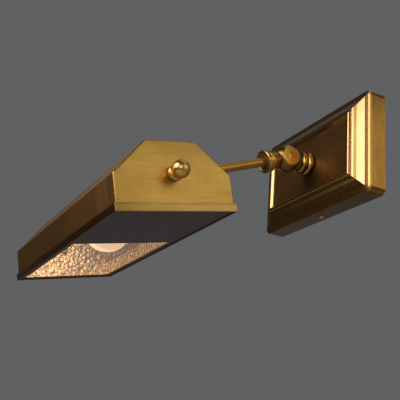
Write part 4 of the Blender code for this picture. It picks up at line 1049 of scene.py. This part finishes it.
def make_holder():
    at = SHADE @ shift(0, 0, LAMP_HEIGHT) @ TO_MINUS_X
    back, front, radius = -HOLDER_BACK_X, -HOLDER_FRONT_X, HOLDER_RADIUS
    corners = [(HOLDER_BORE, front), (radius, front), (radius, front - 0.0094),
        (radius - 0.0009, front - 0.0098), (radius - 0.0009, front - 0.0108), (radius, front - 0.0112),
        (radius, back + 0.0026), (radius - 0.0025, back), (0.0, back), (0.0, back + 0.0060),
        (HOLDER_BORE, back + 0.0060)]
    radii = [0.0003, 0.0010, 0.0003, 0.0002, 0.0002, 0.0003, 0.0012, 0.0006]
    profile = rounded(corners[:8], radii, 5) + corners[8:]
    holder = lathe("lamp_socket", profile, at, 80)
    boolean(holder, *[cylinder(LEAD_RADIUS + 0.0002, 0.0575, 0.07,
        SHADE @ shift(0, y, LAMP_HEIGHT) @ TO_PLUS_X, 20) for y in (-0.0088, 0.0088)])
    finish(holder, PORCELAIN, "shade", "moulded_holder", "lampholder")
    dress(ZINC, "lampholder_bracket", "lampholder_nut", "lampholder_stem", edge=0.0002)
    for i, x in enumerate(RIVET_X):
        rivet = lathe(f"rivet_{i + 1}", dome(0.0026, 0.0010, 10) + [(0.0013, 0.0), (0.0013, -0.0032),
            (0.0, -0.0032)], SHADE @ shift(x, 0, SHADE_HEIGHT + GAP / 3), 40)
        finish(rivet, BODY_BRASS, "shade", "dark_bronze", f"bracket_rivet_{i + 1}")


# ---- build

make_plate()
make_wall_details()
make_knuckle_base("knuckle_wall", "swivel_knuckle", WALL_BASE, "swivel")
make_knuckle_base("knuckle_shade", "shade_knuckle", SHADE_BASE, "shade")
make_bead("bead_wall", "wall_bead", WALL_BASE, "wall_mount")
make_bead("bead_shade", "shade_bead", SHADE_BASE, "shade")
make_arm()
make_shade_body()
make_end_cap("cap_right", "end_cap_right", 1)
make_end_cap("cap_left", "end_cap_left", -1)
make_tray()
make_trough()
FAR = -(SHADE_LENGTH / 2 - CAP_SHEET - GAP)
NEAR = REFLECTOR_NEAR_X + GAP
make_reflector_end("hammered_far_end", "reflector_far_end", FAR, FAR + REFLECTOR_SHEET, 1, KNOB_HEIGHT,
    KNOB_SCREW_RADIUS + 0.0002)
make_reflector_end("hammered_near_end", "reflector_near_end", NEAR, NEAR + REFLECTOR_SHEET, -1, LAMP_HEIGHT,
    HOLDER_RADIUS + 0.0008)
make_knob("finial_right", "knob_right", "knob_right_body", 1)
make_knob("finial_left", "knob_left", "knob_left_body", -1)
make_lamp()
make_holder()


# ---- floor, world, lights and camera


def make_floor():
    bm = bmesh.new()
    bmesh.ops.create_circle(bm, cap_ends=True, radius=0.95, segments=128)
    floor = from_bmesh("floor", bm, shift(0.0, -0.15, -0.62))
    g = Graph("floor_paint")
    grain = g.noise(40.0, 4.0, 0.6)
    g.paint(g.mix(g.span(grain, 0.3, 0.7), (0.62, 0.62, 0.61), (0.56, 0.56, 0.55)), 0.7, 0.0)
    floor.data.materials.append(g.bumped(grain, 0.05, 0.0005))


def make_world():
    """Plain grey studio: even behind the object, darker towards the front in what the metal reflects."""
    g = Graph("studio", bpy.data.worlds, "Background")
    SCENE.world = g.owner
    fall = g.new("MapRange", Value=g.axis(1, "Generated"), From_Min=-0.25, From_Max=0.15)
    fall.interpolation_type = "SMOOTHSTEP"
    seen = g.new("LightPath").outputs["Is Camera Ray"]
    lit = g.math("MAXIMUM", fall.outputs["Result"], seen)
    g.fill(g.shader, dict(Color=g.mix(lit, (0.030, 0.026, 0.022), (0.115, 0.119, 0.123))))


TARGET = Vector((0.0, -0.16, -0.07))


def softbox(name, direction, distance, width, height, radiance, colour):
    """Area light that faces the object; its power follows from the radiance that it shows."""
    data = bpy.data.lights.new(name, "AREA")
    data.shape = "RECTANGLE"
    data.size, data.size_y = width, height
    data.energy = radiance * pi * width * height
    data.color = colour
    lamp = place(name, data)
    heading = Vector(direction).normalized()
    lamp.location = TARGET + heading * distance
    lamp.rotation_mode = "QUATERNION"
    lamp.rotation_quaternion = heading.to_track_quat("Z", "Y")
    lamp.visible_camera = False


make_floor()
make_world()
softbox("front_box", (0.09, -0.93, 0.38), 1.7, 1.25, 0.95, 5.2, (1.0, 0.96, 0.90))
softbox("side_box", (0.84, 0.41, 0.25), 1.7, 1.5, 1.15, 0.80, (1.0, 0.93, 0.80))
softbox("camera_box", (0.82, -0.50, 0.05), 1.5, 0.7, 0.6, 2.2, (1.0, 0.96, 0.90))
softbox("low_box", (0.25, -0.45, -0.86), 1.2, 1.0, 1.0, 0.65, (1.0, 0.95, 0.88))
softbox("top_box", (0.1, 0.2, 1.0), 1.8, 1.2, 1.2, 0.40, (1.0, 0.98, 0.95))

camera_data = bpy.data.cameras.new("camera")
camera_data.sensor_width = 36.0
camera_data.lens = 66.25
camera_data.clip_start, camera_data.clip_end = 0.02, 30.0
camera = place("camera", camera_data)
right = Vector((0.46411, 0.88218, 0.07978))
up = Vector((0.2726, -0.22795, 0.93473))
back = Vector((0.84279, -0.41207, -0.34628))
turn = Matrix((right, up, back)).transposed().to_4x4()
camera.matrix_world = Matrix.Translation((0.5952, -0.4416, -0.3146)) @ turn
SCENE.camera = camera
SCENE.view_settings.view_transform = "Standard"

# ---- end

bpy.context.view_layer.update()
